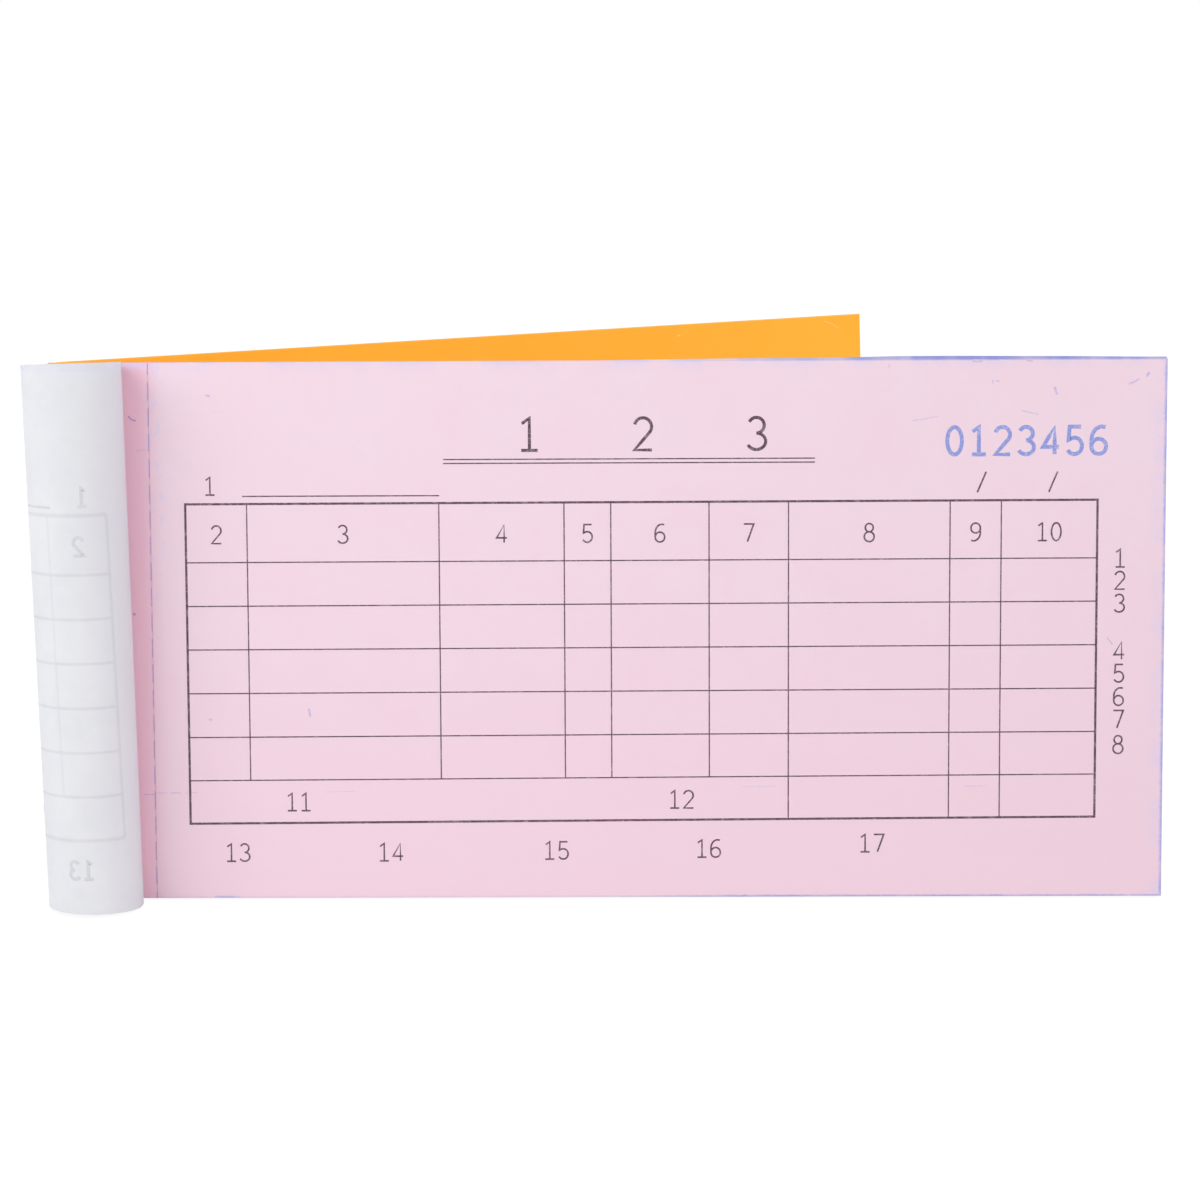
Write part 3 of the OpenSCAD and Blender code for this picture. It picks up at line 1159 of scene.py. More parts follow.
@dataclass(frozen=True)
class Staple:
    """Places and sizes of the flat-wire staples."""

    x: float = 5.2
    inset: float = 20.0
    crown: float = 12.0
    wire_w: float = 0.7
    wire_t: float = 0.45
    clinch: float = 4.5
    clinch_dip: float = 0.1
    leg_gap: float = 0.1
    bend_r: float = 0.42
    bend_steps: int = 7
    ring_steps: int = 20
    ring_power: float = 0.45
    tip_t: float = 0.35
    tip_w: float = 0.6
    sharp: float = 50.0

    @property
    def leg(self) -> float:
        """Distance of a leg's middle from the staple's middle."""
        return (self.crown - self.wire_t) / 2

    @property
    def middles(self) -> Point:
        """Heights of the two staples' middles."""
        return self.inset, BOOK.leaf_h - self.inset

    def holes(self) -> List[Opening]:
        """Places the holes for both staples' legs.

        Returns:
            The holes, a little wider than the wire.
        """
        half_x, half_z = self.wire_w / 2 + self.leg_gap, self.wire_t / 2 + self.leg_gap
        legs = [middle + side * self.leg for middle in self.middles for side in (-1, 1)]
        return [(self.x - half_x, self.x + half_x, leg - half_z, leg + half_z) for leg in legs]

    def path(self, middle: float) -> Array:
        """Gives the wire's middle line from tip to tip, as y and z.

        Args:
            middle: Height of the staple's middle.

        Returns:
            The points of the line, rounded at the bends.
        """
        crown_y = BOOK.strip_y - BOOK.cover_t - self.wire_t / 2
        back_y = BOOK.pad_t + self.wire_t / 2
        tip = (back_y - self.clinch_dip, self.crown / 2 - self.clinch)
        half = [tip, (back_y, self.leg), (crown_y, self.leg)]
        corners = [np.array([y, middle - z]) for y, z in half]
        corners += [np.array([y, middle + z]) for y, z in half[::-1]]
        turn = np.linspace(0, 1, self.bend_steps)[:, None]
        points = [corners[0]]
        for before, here, after in zip(corners, corners[1:], corners[2:]):
            start, end = (here + self.bend_r * unit(other - here) for other in (before, after))
            points.extend((1 - turn) ** 2 * start + 2 * turn * (1 - turn) * here + turn ** 2 * end)
        return np.array([*points, corners[-1]])

    def build(self, node: str, middle: float, material: Finish) -> Piece:
        """Sweeps the rounded flat wire along its path, with chisel tips.

        Args:
            node: Solid that it stands for.
            middle: Height of its middle.
            material: Its finish.

        Returns:
            The staple.
        """
        path = self.path(middle)
        along = unit(np.gradient(path, axis=0))
        across = np.c_[-along[:, 1], along[:, 0]]
        angle = np.linspace(0, 2 * np.pi, self.ring_steps, endpoint=False)
        ring_x, ring_n = (
            np.sign(turn) * np.abs(turn) ** self.ring_power * size / 2
            for turn, size in ((np.cos(angle), self.wire_w), (np.sin(angle), self.wire_t))
        )
        rings = []
        for i, (place, normal) in enumerate(zip(path, across)):
            thin = self.tip_t if i in (0, len(path) - 1) else 1.0
            wide = self.tip_w + (1.0 - self.tip_w) * thin
            rings.append(np.c_[self.x + ring_x * wide, place + np.outer(ring_n * thin, normal)])
        count, size = len(rings), len(angle)
        faces: List[List[int]] = []
        for i in range(count - 1):
            for j in range(size):
                k = (j + 1) % size
                faces.append([i * size + j, i * size + k, (i + 1) * size + k, (i + 1) * size + j])
        faces.append(list(range(size))[::-1])
        faces.append([(count - 1) * size + j for j in range(size)])
        points = np.concatenate(rings)
        mesh = Mesh()
        mesh.add(points, [face[::-1] for face in faces], points * 0)
        return mesh.piece(f"{node}_wire", material, Role(Body.PAD, Slot.WIRE, (node,)), self.sharp)


STAPLE = Staple()


def flat_relief(x: Array, z: Array) -> Array:
    """Leaves a leaf flat."""
    return x * 0.0 + z * 0.0


@dataclass(frozen=True)
class LyingRelief:
    """Shape of the top leaf, flat at its stub and off the pad at its free corners."""

    rest: float = 0.03
    joins_over: float = 12.0
    free_from: float = 95.0
    free_over: float = 80.0
    free_lift: float = 0.05
    corner_lift: float = 0.16
    middle_z: float = 40.0
    corner_reach: float = 45.0
    wave: float = 0.03
    wave_x: float = 23.0
    wave_z: float = 17.0
    wave_start: float = 0.6
    wave_from: float = 16.0
    wave_over: float = 20.0
    wave_range: Point = (-0.02, 0.04)

    def __call__(self, x: Array, z: Array) -> Array:
        """Gives how far the leaf stands off the pad.

        Args:
            x: Distance from the bound edge.
            z: Height above the foot.

        Returns:
            The lift, in millimetres.
        """
        out = np.clip((x - self.free_from) / self.free_over, 0.0, 1.0)
        corner = np.abs(z - self.middle_z) / self.corner_reach
        wave = self.wave * np.sin(x / self.wave_x) * np.sin(z / self.wave_z + self.wave_start)
        waved = np.clip((x - self.wave_from) / self.wave_over, 0.0, 1.0)
        wave = np.clip(wave * waved, *self.wave_range)
        lift = self.rest + out ** 2 * (self.free_lift + self.corner_lift * corner ** 2) + wave
        return lift * np.clip((x - BOOK.perf_x) / self.joins_over, 0.0, 1.0)


CLIMB_PLACES: Tuple[float, ...] = (70.0, 94.0, 109.0, 124.0, 133.0, 142.0, 161.0, 171.0)
CLIMB_SHARES: Tuple[float, ...] = (0.0, 0.4, 0.62, 0.7, 1.0, 1.0, 0.81, 0.62)
SKEW_PLACES: Point = (100.0, BOOK.leaf_w)
SKEW_SHARES: Point = (0.0, 0.85)


@dataclass
class Leaf:
    """A leaf of the pad, or a part of it, between two distances from the bound edge."""

    number: int
    start: float = 0.0
    end: float = BOOK.leaf_w
    shift: Point = (0.0, 0.0)
    climb: float = 0.0
    stand: Point = (0.0, 0.0)
    relief: Relief = flat_relief
    longest: float = 60.0

    def sheet(self) -> Sheet:
        """Shapes the leaf.

        Returns:
            The leaf with its slits and staple holes.
        """
        holes = STAPLE.holes() if self.start < STAPLE.x < self.end else []
        openings = holes + PERFORATION.slits()
        openings = [hole for hole in openings if self.start < hole[1] and hole[0] < self.end]
        bends = CLIMB_PLACES if self.climb else ()
        columns = [self.start, self.end, *sides_of(openings, 0), *bends]
        xs = stops([x for x in columns if self.start <= x <= self.end], self.longest)
        zs = stops([0.0, BOOK.leaf_h, *sides_of(openings, 1)], self.longest)
        x, z = np.meshgrid(xs, zs)
        y = BOOK.leaf_middle(self.number) - self.relief(x, z)
        raised = self.climb * np.interp(x, CLIMB_PLACES, CLIMB_SHARES)
        raised += self.stand[0] + (self.stand[1] - self.stand[0]) * z / BOOK.leaf_h
        out = self.climb * np.interp(x, SKEW_PLACES, SKEW_SHARES)
        points = np.stack([x + self.shift[0] + out, y, z + self.shift[1] + raised], axis=-1)
        return Sheet(points, np.stack([x, z], axis=-1), BOOK.leaf_t, uncut(xs, zs, openings))


@dataclass
class LeafBlock:
    """The stapled leaves under the top set, each a little out of line with its neighbours."""

    first: int = 4
    drift: float = 0.045
    shear: float = 0.65
    seed: int = 11

    def build(self, palette: Palette) -> List[Piece]:
        """Builds the white leaves, the pink leaves and the print on the uppermost.

        Args:
            palette: The book's finishes.

        Returns:
            All the pieces.
        """
        draw = np.random.default_rng(self.seed)
        meshes = {1: Mesh(), 0: Mesh()}
        nodes: Dict[int, List[str]] = {1: [], 0: []}
        for number in range(self.first, BOOK.leaf_count + 1):
            slip = draw.uniform(-self.drift, 0.0, 2)
            climb = self.shear * (number - self.first) / (BOOK.leaf_count - self.first)
            shift = (float(slip[0]), float(abs(slip[1]) - self.drift))
            Leaf(number, shift=shift, climb=climb).sheet().onto(meshes[number % 2])
            nodes[number % 2].append(f"leaf_{number:02d}")
        looks = {
            1: ("white_leaves", palette.white, Slot.WHITE),
            0: ("pink_leaves", palette.pink, Slot.PINK),
        }
        made = [
            meshes[odd].piece(name, material, Role(Body.PAD, slot, tuple(nodes[odd])))
            for odd, (name, material, slot) in looks.items()
        ]
        form = FormPrint(Leaf(self.first).sheet())
        return made + form.build("fourth_leaf", palette.ruling, palette.serial, Role(Body.PAD))


@dataclass
class TornOffLeaf:
    """A leaf that turns on its perforation, with the stub that stays in the pad."""

    number: int
    name: str
    body: Body
    slot: Slot
    turning_room: float
    relief: Relief = flat_relief
    stand: Point = (0.0, 0.0)
    gives_way_to: Optional[str] = None
    tear: float = 0.006
    slack: float = 0.03
    ties_gap: float = 0.002
    ties_keep: float = 0.01
    detail: float = 4.0

    def part(self, start: float, end: float, **shape: object) -> Sheet:
        """Gives the leaf from start to end, with further fields of its shape."""
        return Leaf(self.number, start, end, stand=self.stand, **shape).sheet()

    def build(self, paper: Finish, inks: Sequence[Finish]) -> List[Piece]:
        """Builds the stub, the sheet with its print and the paper ties between them.

        Args:
            paper: Paper of the leaf.
            inks: Inks of the form and of the running number, and of marks if there are any.

        Returns:
            All the pieces.
        """
        stub_end = BOOK.perf_x - self.turning_room
        stub = self.part(0.0, stub_end)
        start = BOOK.perf_x + self.tear
        sheet = self.part(start, BOOK.leaf_w, relief=self.relief, longest=self.detail)
        made = []
        for part, shape, body in (("stub", stub, Body.PAD), ("sheet", sheet, self.body)):
            role = Role(body, self.slot, (f"{self.name}_{part}",))
            made.append(shape.onto(Mesh()).piece(f"{self.name}_{part}_paper", paper, role))
        if self.gives_way_to is not None:
            ties = self.part(stub_end + self.ties_gap, BOOK.perf_x - self.slack)
            piece = ties.onto(Mesh()).piece(f"{self.name}_ties", paper, Role(Body.PAD, self.slot))
            anchor = tuple(BOOK.world(np.array([stub_end, 0.0, 0.0])))
            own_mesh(piece)
            made.append(piece)
        form, role = FormPrint(sheet), Role(self.body)
        made += form.build(self.name, inks[0], inks[1], role)
        if len(inks) > 2:
            made.append(form.lay(f"{self.name}_scuffs", SCUFFS, inks[2], role))
            on_stub, name = FormPrint(stub), f"{self.name}_stub_scuffs"
            made.append(on_stub.lay(name, STUB_SCUFFS, inks[3], Role(Body.PAD)))
        return made


SCUFFS: Tuple[Mark, ...] = (
    ([(144.6, 84.75), (146.1, 84.65)], 0.4), ([(148.1, 81.6), (148.8, 81.45)], 0.16),
    ([(147.7, 81.7), (147.8, 81.1)], 0.14), ([(157.4, 80.6), (157.8, 79.4)], 0.36),
    ([(169.0, 81.0), (169.9, 81.35), (170.6, 81.8)], 0.22), ([(171.7, 82.1), (172.2, 82.8)], 0.36),
    ([(153.0, 84.7), (154.0, 84.6)], 0.2), ([(135.2, 75.4), (137.4, 75.7), (139.2, 76.1)], 0.1),
    ([(152.3, 76.9), (154.9, 76.3)], 0.13), ([(24.3, 79.8), (25.0, 79.7)], 0.28),
    ([(15.6, 16.85), (17.2, 16.85)], 0.1), ([(17.7, 16.85), (19.4, 16.85)], 0.13),
    ([(20.0, 16.8), (22.0, 16.9)], 0.08), ([(42.0, 16.95), (47.0, 17.0)], 0.05),
    ([(108.6, 17.6), (113.8, 17.7)], 0.06), ([(143.8, 17.6), (147.2, 17.6)], 0.08),
    ([(24.5, 0.14), (28.6, 0.14)], 0.28),
    ([(131.5, 84.3), (131.6, 83.7)], 0.12), ([(166.0, 41.2), (166.9, 40.1)], 0.18),
    ([(39.9, 30.3), (40.1, 29.0)], 0.3), ([(24.0, 28.6), (24.5, 28.5)], 0.3),
)
STUB_SCUFFS: Tuple[Mark, ...] = (
    ([(12.05, 76.6), (12.6, 76.05), (13.25, 75.85)], 0.28), ([(12.3, 45.6), (12.6, 45.2)], 0.4),
    ([(13.2, 71.2), (14.9, 71.35)], 0.07), ([(13.5, 16.6), (15.1, 16.6)], 0.1),
)
CARD_SCRATCHES: Tuple[Mark, ...] = (
    ([(8.7, 84.0), (7.1, 83.55), (5.3, 82.6)], 0.12), ([(43.1, 83.05), (42.5, 83.0)], 0.26),
)


def clipped(stroke: Stroke, span: Point) -> List[Stroke]:
    """Cuts a straight rule to a span of the leaf.

    Args:
        stroke: The rule's two ends.
        span: Least and greatest distance from the bound edge.

    Returns:
        The rule inside the span, or nothing where it lies outside.
    """
    (x0, z0), (x1, z1) = stroke
    if x0 == x1:
        return [stroke] if span[0] <= x0 <= span[1] else []
    ends = max(x0, span[0]), min(x1, span[1])
    if ends[0] >= ends[1]:
        return []
    return [[(x, z0 + (z1 - z0) * (x - x0) / (x1 - x0)) for x in ends]]


@dataclass
class FormPrint:
    """Ruling, field numbers and running number of the form, printed on a leaf."""

    sheet: Sheet
    back: bool = False
    longest: float = 3.0
    film: float = 0.006
    overlap: float = 0.0015
    layers: int = 3
    sunk: float = 0.004
    least_mitre: float = 0.5
    meets: float = 1e-6
    ghost_blur: float = 2.0
    ghost_end: float = FORM.columns[2] + 1.0

    def ribbon(self, mesh: Mesh, stroke: Stroke, width: float) -> None:
        """Lays a stroke on the leaf as a thin film with mitred bends.

        Args:
            mesh: Mesh to add the film to.
            stroke: Its middle line.
            width: Its width.
        """
        points = [np.array(stroke[0])]
        for end in stroke[1:]:
            start, way = points[-1], np.array(end) - points[-1]
            parts = max(1, math.ceil(np.linalg.norm(way) / self.longest))
            points.extend(start + way * (i + 1) / parts for i in range(parts))
        line = np.array(points)
        closed = np.linalg.norm(line[0] - line[-1]) < self.meets
        ahead = unit(np.diff(line, axis=0))
        before = np.concatenate([ahead[-1:] if closed else ahead[:1], ahead])
        after = np.concatenate([ahead, ahead[:1] if closed else ahead[-1:]])
        normals = np.stack([np.c_[-d[:, 1], d[:, 0]] for d in (before, after)])
        mitre = normals.sum(axis=0)
        mitre /= np.maximum((mitre * normals[0]).sum(axis=1, keepdims=True), self.least_mitre)
        left, right = line + mitre * width / 2, line - mitre * width / 2
        n = len(line)
        flat = np.concatenate([left, right, left, right])
        film = self.film + self.overlap * (len(mesh.points) % self.layers)
        points3 = self.sheet.over(flat, np.repeat([film, -self.sunk], 2 * n), self.back)
        a, b, c, d = 0, n, 2 * n, 3 * n
        cell = (
            (a, b, b + 1, a + 1), (c, c + 1, d + 1, d),
            (a, a + 1, c + 1, c), (b, d, d + 1, b + 1),
        )
        faces = [tuple(i + corner for corner in face) for i in range(n - 1) for face in cell]
        if not closed:
            faces += [(a, c, d, b), tuple(n - 1 + corner for corner in (a, b, d, c))]
        order = 1 if self.back else -1
        mesh.add(points3, [face[::order] for face in faces], np.c_[flat, np.zeros(len(flat))])

    def lay(
        self, name: str, marks: Sequence[Mark], ink: Finish, role: Role = Role(),
    ) -> Piece:
        """Lays strokes on the leaf as one piece.

        Args:
            name: Name of the piece.
            marks: Strokes with their widths.
            ink: Their ink.
            role: What the piece is to the frame.

        Returns:
            The piece.
        """
        mesh = Mesh()
        for stroke, width in marks:
            self.ribbon(mesh, stroke, width)
        return mesh.piece(name, ink, role)

    def build(
        self,
        name: str,
        ruling: Finish,
        serial: Finish,
        role: Role = Role(),
        span: Point = (0.0, BOOK.leaf_w),
    ) -> List[Piece]:
        """Builds the dark print and the running number.

        Args:
            name: Start of the pieces' names.
            ruling: Ink of lines and field numbers.
            serial: Ink of the running number.
            role: What the pieces are to the frame.
            span: Part of the leaf that takes the print.

        Returns:
            The pieces that have print on them.
        """
        def inside(marks: Sequence[Mark]) -> List[Mark]:
            """Keeps the figures that have their middle in the span."""
            middles = [sum(x for x, _ in stroke) / len(stroke) for stroke, _ in marks]
            return [mark for mark, x in zip(marks, middles) if span[0] <= x <= span[1]]

        dark = [(kept, width) for stroke, width in FORM.rules() for kept in clipped(stroke, span)]
        dark += inside(FORM.figures())
        layers = (("ruling", dark, ruling), ("running_number", inside(FORM.serial()), serial))
        return [
            self.lay(f"{name}_{part}", marks, ink, role) for part, marks, ink in layers if marks
        ]

    def ghost(self, name: str, ink: Finish) -> Piece:
        """Builds the figures by the bound edge as they show through to the back.

        Args:
            name: Start of the piece's name.
            ink: Faint ink of the figures.

        Returns:
            The piece.
        """
        right, up = TURNED_PRINT
        marks = [
            ([(x + right, z + up) for x, z in stroke], width * self.ghost_blur)
            for stroke, width in FORM.figures() + FORM.rules()[-1:]
            if max(x for x, _ in stroke) < self.ghost_end
        ]
        return self.lay(f"{name}_ghost", marks, ink)


def smoothed(grid: Array, columns: slice, passes: int) -> None:
    """Rounds the rows of a grid with a running mean, the ends of the stretch kept.

    Args:
        grid: Points by row and column, which are moved.
        columns: Columns to round.
        passes: How often to smooth.
    """
    for _ in range(passes):
        path = grid[:, columns].copy()
        path[:, 1:-1] = (path[:, :-2] + 2 * path[:, 1:-1] + path[:, 2:]) / 4
        grid[:, columns] = path


@dataclass
class StandingPanel:
    """A square-cut sheet that hangs from the leaning crease and stands on the table."""

    length: float
    behind: float
    foot: float
    bow: float
    tall: float = BOOK.leaf_h

    def column(self, share: float, rise: Array) -> Array:
        """Gives one column of points from foot to top.

        Args:
            share: Place from the crease, 0, to the free end, 1.
            rise: Places from the foot, 0, to the top, 1.

        Returns:
            The points in pad millimetres.
        """
        slant = BOOK.foot_slant
        low = share * self.length * heading(slant)
        up = np.array([-math.sin(slant), math.cos(slant)])
        end = self.length * heading(slant) + self.tall * up
        crease_top = np.array([0.0, self.tall / math.cos(slant)])
        high = crease_top + share * (end - crease_top)
        s, z = (low + (high - low) * rise[:, None]).T
        off = self.behind + self.bow * math.sin(math.pi * share)
        xy = BOOK.hinge + np.outer(s, BOOK.panel_along) + off * BOOK.panel_behind
        return np.c_[xy, z + self.foot]


@dataclass
class CoverCard:
    """The cover, one card from its stapled strip round the spine to the splayed panel."""

    strip_w: float = 9.5
    corner_r: float = 0.2
    bow: float = 0.25
    spare: Point = (0.4, 0.15)
    strip_step: float = 1.5
    rise_step: float = 0.05
    stand: float = 0.3
    stand_part: float = 10.0
    corner_steps: int = 9
    spine_steps: int = 40
    near_shares: Tuple[float, float, int] = (0.0006, 0.02, 24)
    far_shares: Tuple[float, float, int] = (0.02, 1.0, 44)
    rounded: Tuple[int, int] = (24, 16)
    passes: int = 7
    sharp: float = 40.0
    bends_over: Point = (-0.25, 0.35)

    def path(self, strip_x: Array) -> List[Array]:
        """Gives the card's way from the strip's free edge to the crease.

        Args:
            strip_x: Places along the strip.

        Returns:
            The points as x and y.
        """
        hinge = BOOK.hinge
        middle = np.array([0.0, BOOK.strip_y + BOOK.cover_gap])
        turns = np.linspace(0, math.pi / 2, self.corner_steps)
        corner = [middle - self.corner_r * np.array([math.sin(a), math.cos(a)]) for a in turns]
        spine = np.linspace(corner[-1], hinge, self.spine_steps)[1:]
        return [np.array([x, BOOK.strip_y - BOOK.cover_t / 2]) for x in strip_x] + corner + [*spine]

    def build(self, material: Finish, scratch: Finish) -> List[Piece]:
        """Builds the card as one piece, from its strip round the spine to the splayed panel.

        Args:
            material: Its finish.
            scratch: Finish of the pale scratches near its free end.

        Returns:
            The cover and its scratches.
        """
        x, y = BOOK.hinge
        holes = STAPLE.holes()
        strip_x = stops([self.corner_r, self.strip_w, *sides_of(holes, 0)], self.strip_step)[::-1]
        rise = stops([0.0, 1.0, *(z / BOOK.leaf_h for z in sides_of(holes, 1))], self.rise_step)
        height = rise * BOOK.leaf_h
        path = self.path(strip_x)
        fixed = len(strip_x) + self.corner_steps
        raised = np.interp(np.arange(len(path)), (fixed, len(path) - 1), (self.stand, 0.0))
        near_top = np.clip(rise * self.stand_part - (self.stand_part - 1.0), 0.0, 1.0)
        columns = []
        for place, up in zip(path, raised):
            columns.append(np.c_[np.tile(place, (len(rise), 1)), height + up * near_top])
        wide, tall = BOOK.leaf_w - BOOK.pad_t + self.spare[0], BOOK.leaf_h + self.spare[1]
        panel = StandingPanel(wide, 0.0, BOOK.table_z(y), self.bow, tall)
        shares = np.concatenate([np.linspace(*self.near_shares), np.linspace(*self.far_shares)[1:]])
        columns += [panel.column(share, rise) for share in shares]
        grid = np.stack(columns, axis=1)
        smoothed(grid, slice(fixed + self.rounded[0], len(path) + self.rounded[1]), self.passes)
        flat = np.stack([lengths_along(grid), np.tile(height[:, None], grid.shape[1])], axis=-1)
        keep = np.ones((len(rise) - 1, grid.shape[1] - 1), bool)
        keep[:, :len(strip_x) - 1] = uncut(strip_x, height, holes)
        sheet = Sheet(grid, flat, BOOK.cover_t, keep)
        role = Role(slot=Slot.CARD, nodes=("cover_strip", "cover_panel"))
        free = float(flat[-1, -1, 0])
        marks = [
            ([(free - back, z) for back, z in stroke], width) for stroke, width in CARD_SCRATCHES
        ]
        pieces = [
            sheet.onto(Mesh()).piece("cover_card", material, role, self.sharp),
            FormPrint(sheet).lay("cover_scratches", marks, scratch),
        ]
        ends = (np.array([x, y + dy, BOOK.leaf_h / 2]) for dy in self.bends_over)
        start, end = (tuple(BOOK.world(place)) for place in ends)
        for piece in pieces:
            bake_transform(piece)
        return pieces


@dataclass
class TurnedLeaf:
    """The first leaf, turned over the bound edge in a conical roll and on behind the cover."""

    right: Point = (13.43, 11.47)
    radius: Point = (7.25, 7.58)
    rise: Point = (4.4, 4.7)
    fold_r: float = 2.0
    ride_up: float = 0.5
    crown: float = 0.2
    print_tilt: float = 0.5
    sag: float = 0.42
    bow: float = 0.5
    tail_gap: float = 0.4
    roll_share: float = 0.07
    levels: int = 26
    stub_steps: int = 24
    fold_steps: int = 8
    side_steps: int = 6
    front_steps: int = 72
    wall_steps: int = 28
    turn_steps: int = 6
    tail_steps: Tuple[int, int] = (20, 60)
    eased: int = 12
    passes: int = 5
    sharp: float = 60.0
    roll_bends: Point = (-0.5, 1.2)
    tail_from: float = 0.5
    tail_over: float = 34.0
    roll_detail: float = 0.3

    @property
    def tail_r(self) -> float:
        """Distance of the tail's middle from the crease's axis."""
        return BOOK.cover_t / 2 + self.tail_gap + BOOK.leaf_t / 2

    @property
    def tail_w(self) -> float:
        """What the stub and the roll leave of the leaf."""
        paths = [np.linalg.norm(np.diff(self.profile(end), axis=0), axis=1).sum() for end in (0, 1)]
        return BOOK.leaf_w - sum(paths) / 2

    def profile(self, end: int) -> Array:
        """Gives the leaf's path up to the crease.

        Args:
            end: 0 for the leaf's foot and 1 for its top.

        Returns:
            The points as x and y.
        """
        right, r, rise = self.right[end], self.radius[end], self.rise[end]
        y0, fold = -BOOK.pitch / 2, self.fold_r
        folds = np.linspace(0, math.pi / 2, self.fold_steps + 1)[1:]
        fronts = np.linspace(0, math.pi, self.front_steps + 1)[1:]
        path = [(x, y0) for x in np.linspace(0.0, right - fold, self.stub_steps)]
        path += [(right - fold + fold * math.sin(a), y0 - fold + fold * math.cos(a)) for a in folds]
        path += [(right, y) for y in np.linspace(y0 - fold, -rise, self.side_steps + 1)[1:]]
        path += [(right - r + r * math.cos(a), -rise - r * math.sin(a)) for a in fronts]
        left = np.array(path[-1])
        crease = BOOK.hinge - np.array([self.tail_r, 0.0])
        path += [left + (crease - left) * t for t in np.linspace(0, 1, self.wall_steps + 1)[1:]]
        stop = math.pi / 2 + math.radians(BOOK.cover_swing)
        turns = np.linspace(math.pi, stop, self.turn_steps + 1)[1:-1]
        path += [BOOK.hinge + self.tail_r * heading(a) for a in turns]
        return np.array(path)

    def grid(self) -> Tuple[Array, Array, int]:
        """Gives the whole leaf's points, its flat places and the column where the tail starts.

        Returns:
            Points and flat places by row and column, and the number of the parting column.
        """
        low, high = self.profile(0), self.profile(1)
        count = len(low)
        wall_end = count - self.turn_steps + 1
        wall_start = wall_end - self.wall_steps
        slope = (self.right[0] - self.right[1] - (self.radius[0] - self.radius[1])) / BOOK.leaf_h
        t = np.linspace(0, 1, self.levels)
        columns = []
        for i in range(count):
            off_pad = min(1.0, max(0.0, (-low[i][1] - BOOK.pitch) / self.fold_r))
            fade = min(off_pad, max(0.0, (wall_end - i) / self.wall_steps))
            held = min(i, wall_start - 1)
            drop = -slope * (self.right[1] - high[held][0])
            across = (self.right[0] - low[held][0]) / (2 * self.radius[0])
            bulge = max(0.0, (-low[i][1] - self.rise[0]) / self.radius[0])
            foot = max(-self.sag * (1.0 - across ** 3) * fade, min(0.0, BOOK.table_z(low[i][1])))
            top = BOOK.leaf_h + (drop + self.ride_up + self.crown * bulge) * fade
            xy = low[i] + (high[i] - low[i]) * t[:, None]
            columns.append(np.c_[xy, foot + (top - foot) * t])
        base = BOOK.table_z(BOOK.hinge[1] + self.tail_r * BOOK.panel_behind[1])
        panel = StandingPanel(self.tail_w, self.tail_r, base, self.bow)
        near = np.linspace(0.0, self.roll_share, self.tail_steps[0])
        far = np.linspace(self.roll_share, 1.0, self.tail_steps[1])[1:]
        columns += [panel.column(share, t) for share in np.concatenate([near, far])]
        grid = np.stack(columns, axis=1)
        smoothed(grid, slice(self.eased, count + self.eased), self.passes)
        tall = np.linalg.norm(grid[-1] - grid[0], axis=1)
        ends = (wall_start - self.front_steps, wall_start, wall_end)
        tilt = np.interp(np.arange(grid.shape[1]), ends, (0.0, self.print_tilt, 0.0))
        flat = np.stack([lengths_along(grid), np.outer(t, tall) + tilt], axis=-1)
        return grid, flat, count + len(near) - 1

    def build(self, palette: Palette) -> List[Piece]:
        """Builds the roll and the tail.

        Args:
            palette: The book's finishes.

        Returns:
            Both pieces with their print, and the ghost of the print on the roll.
        """
        grid, flat, parting = self.grid()
        whole = Sheet(grid, flat, BOOK.leaf_t)
        middle, parting_x = BOOK.leaf_h / 2, float(flat[:, parting, 0].mean())
        x, y = BOOK.hinge
        lifts_from = self.roll_share * self.tail_w + self.tail_from
        lifts = (lifts_from, lifts_from + self.tail_over)
        roll_ends = [np.array([x, y + dy, middle]) for dy in self.roll_bends]
        tail_ends = [np.r_[BOOK.hinge + s * BOOK.panel_along, middle] for s in lifts]
        roll_span, tail_span = (0.0, parting_x), (parting_x, BOOK.leaf_w)
        roll, tail = slice(None, parting + 1), slice(parting, None)
        halves = (
            ("first_leaf_roll", roll, roll_span, Body.PAD, Body.COVER, roll_ends),
            ("first_leaf_tail", tail, tail_span, Body.COVER, Body.FIRST_LEAF, tail_ends),
        )
        made = []
        for name, columns, span, near, far, ends in halves:
            rolled = near is Body.PAD
            half = Sheet(grid[:, columns], flat[:, columns], BOOK.leaf_t)
            role = Role(slot=Slot.WHITE, nodes=(name,))
            pieces = [half.onto(Mesh()).piece(f"{name}_paper", palette.turned, role, self.sharp)]
            form = FormPrint(whole, longest=self.roll_detail) if rolled else FormPrint(whole)
            pieces += form.build(name, palette.ruling_white, palette.serial, span=span)
            if rolled:
                pieces.append(FormPrint(whole, True, self.roll_detail).ghost(name, palette.ghost))
            start, end = (tuple(BOOK.world(place)) for place in ends)
            for piece in pieces:
                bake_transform(piece)
            made += pieces
        return made


@dataclass
class BackCard:
    """The card that closes the pad behind."""

    longest: float = 20.0

    def build(self, material: Finish) -> Piece:
        """Builds the card with its staple holes.

        Args:
            material: Its finish.

        Returns:
            The card.
        """
        holes = STAPLE.holes()
        xs = stops([0.0, BOOK.leaf_w, *sides_of(holes, 0)], self.longest)
        zs = stops([0.0, BOOK.leaf_h, *sides_of(holes, 1)], self.longest)
        x, z = np.meshgrid(xs, zs)
        points = np.stack([x, np.full_like(x, BOOK.pad_t - BOOK.cover_t / 2), z], axis=-1)
        sheet = Sheet(points, np.stack([x, z], axis=-1), BOOK.cover_t, uncut(xs, zs, holes))
        role = Role(Body.PAD, Slot.CARD, ("back_cover",))
        return sheet.onto(Mesh()).piece("back_card", material, role)


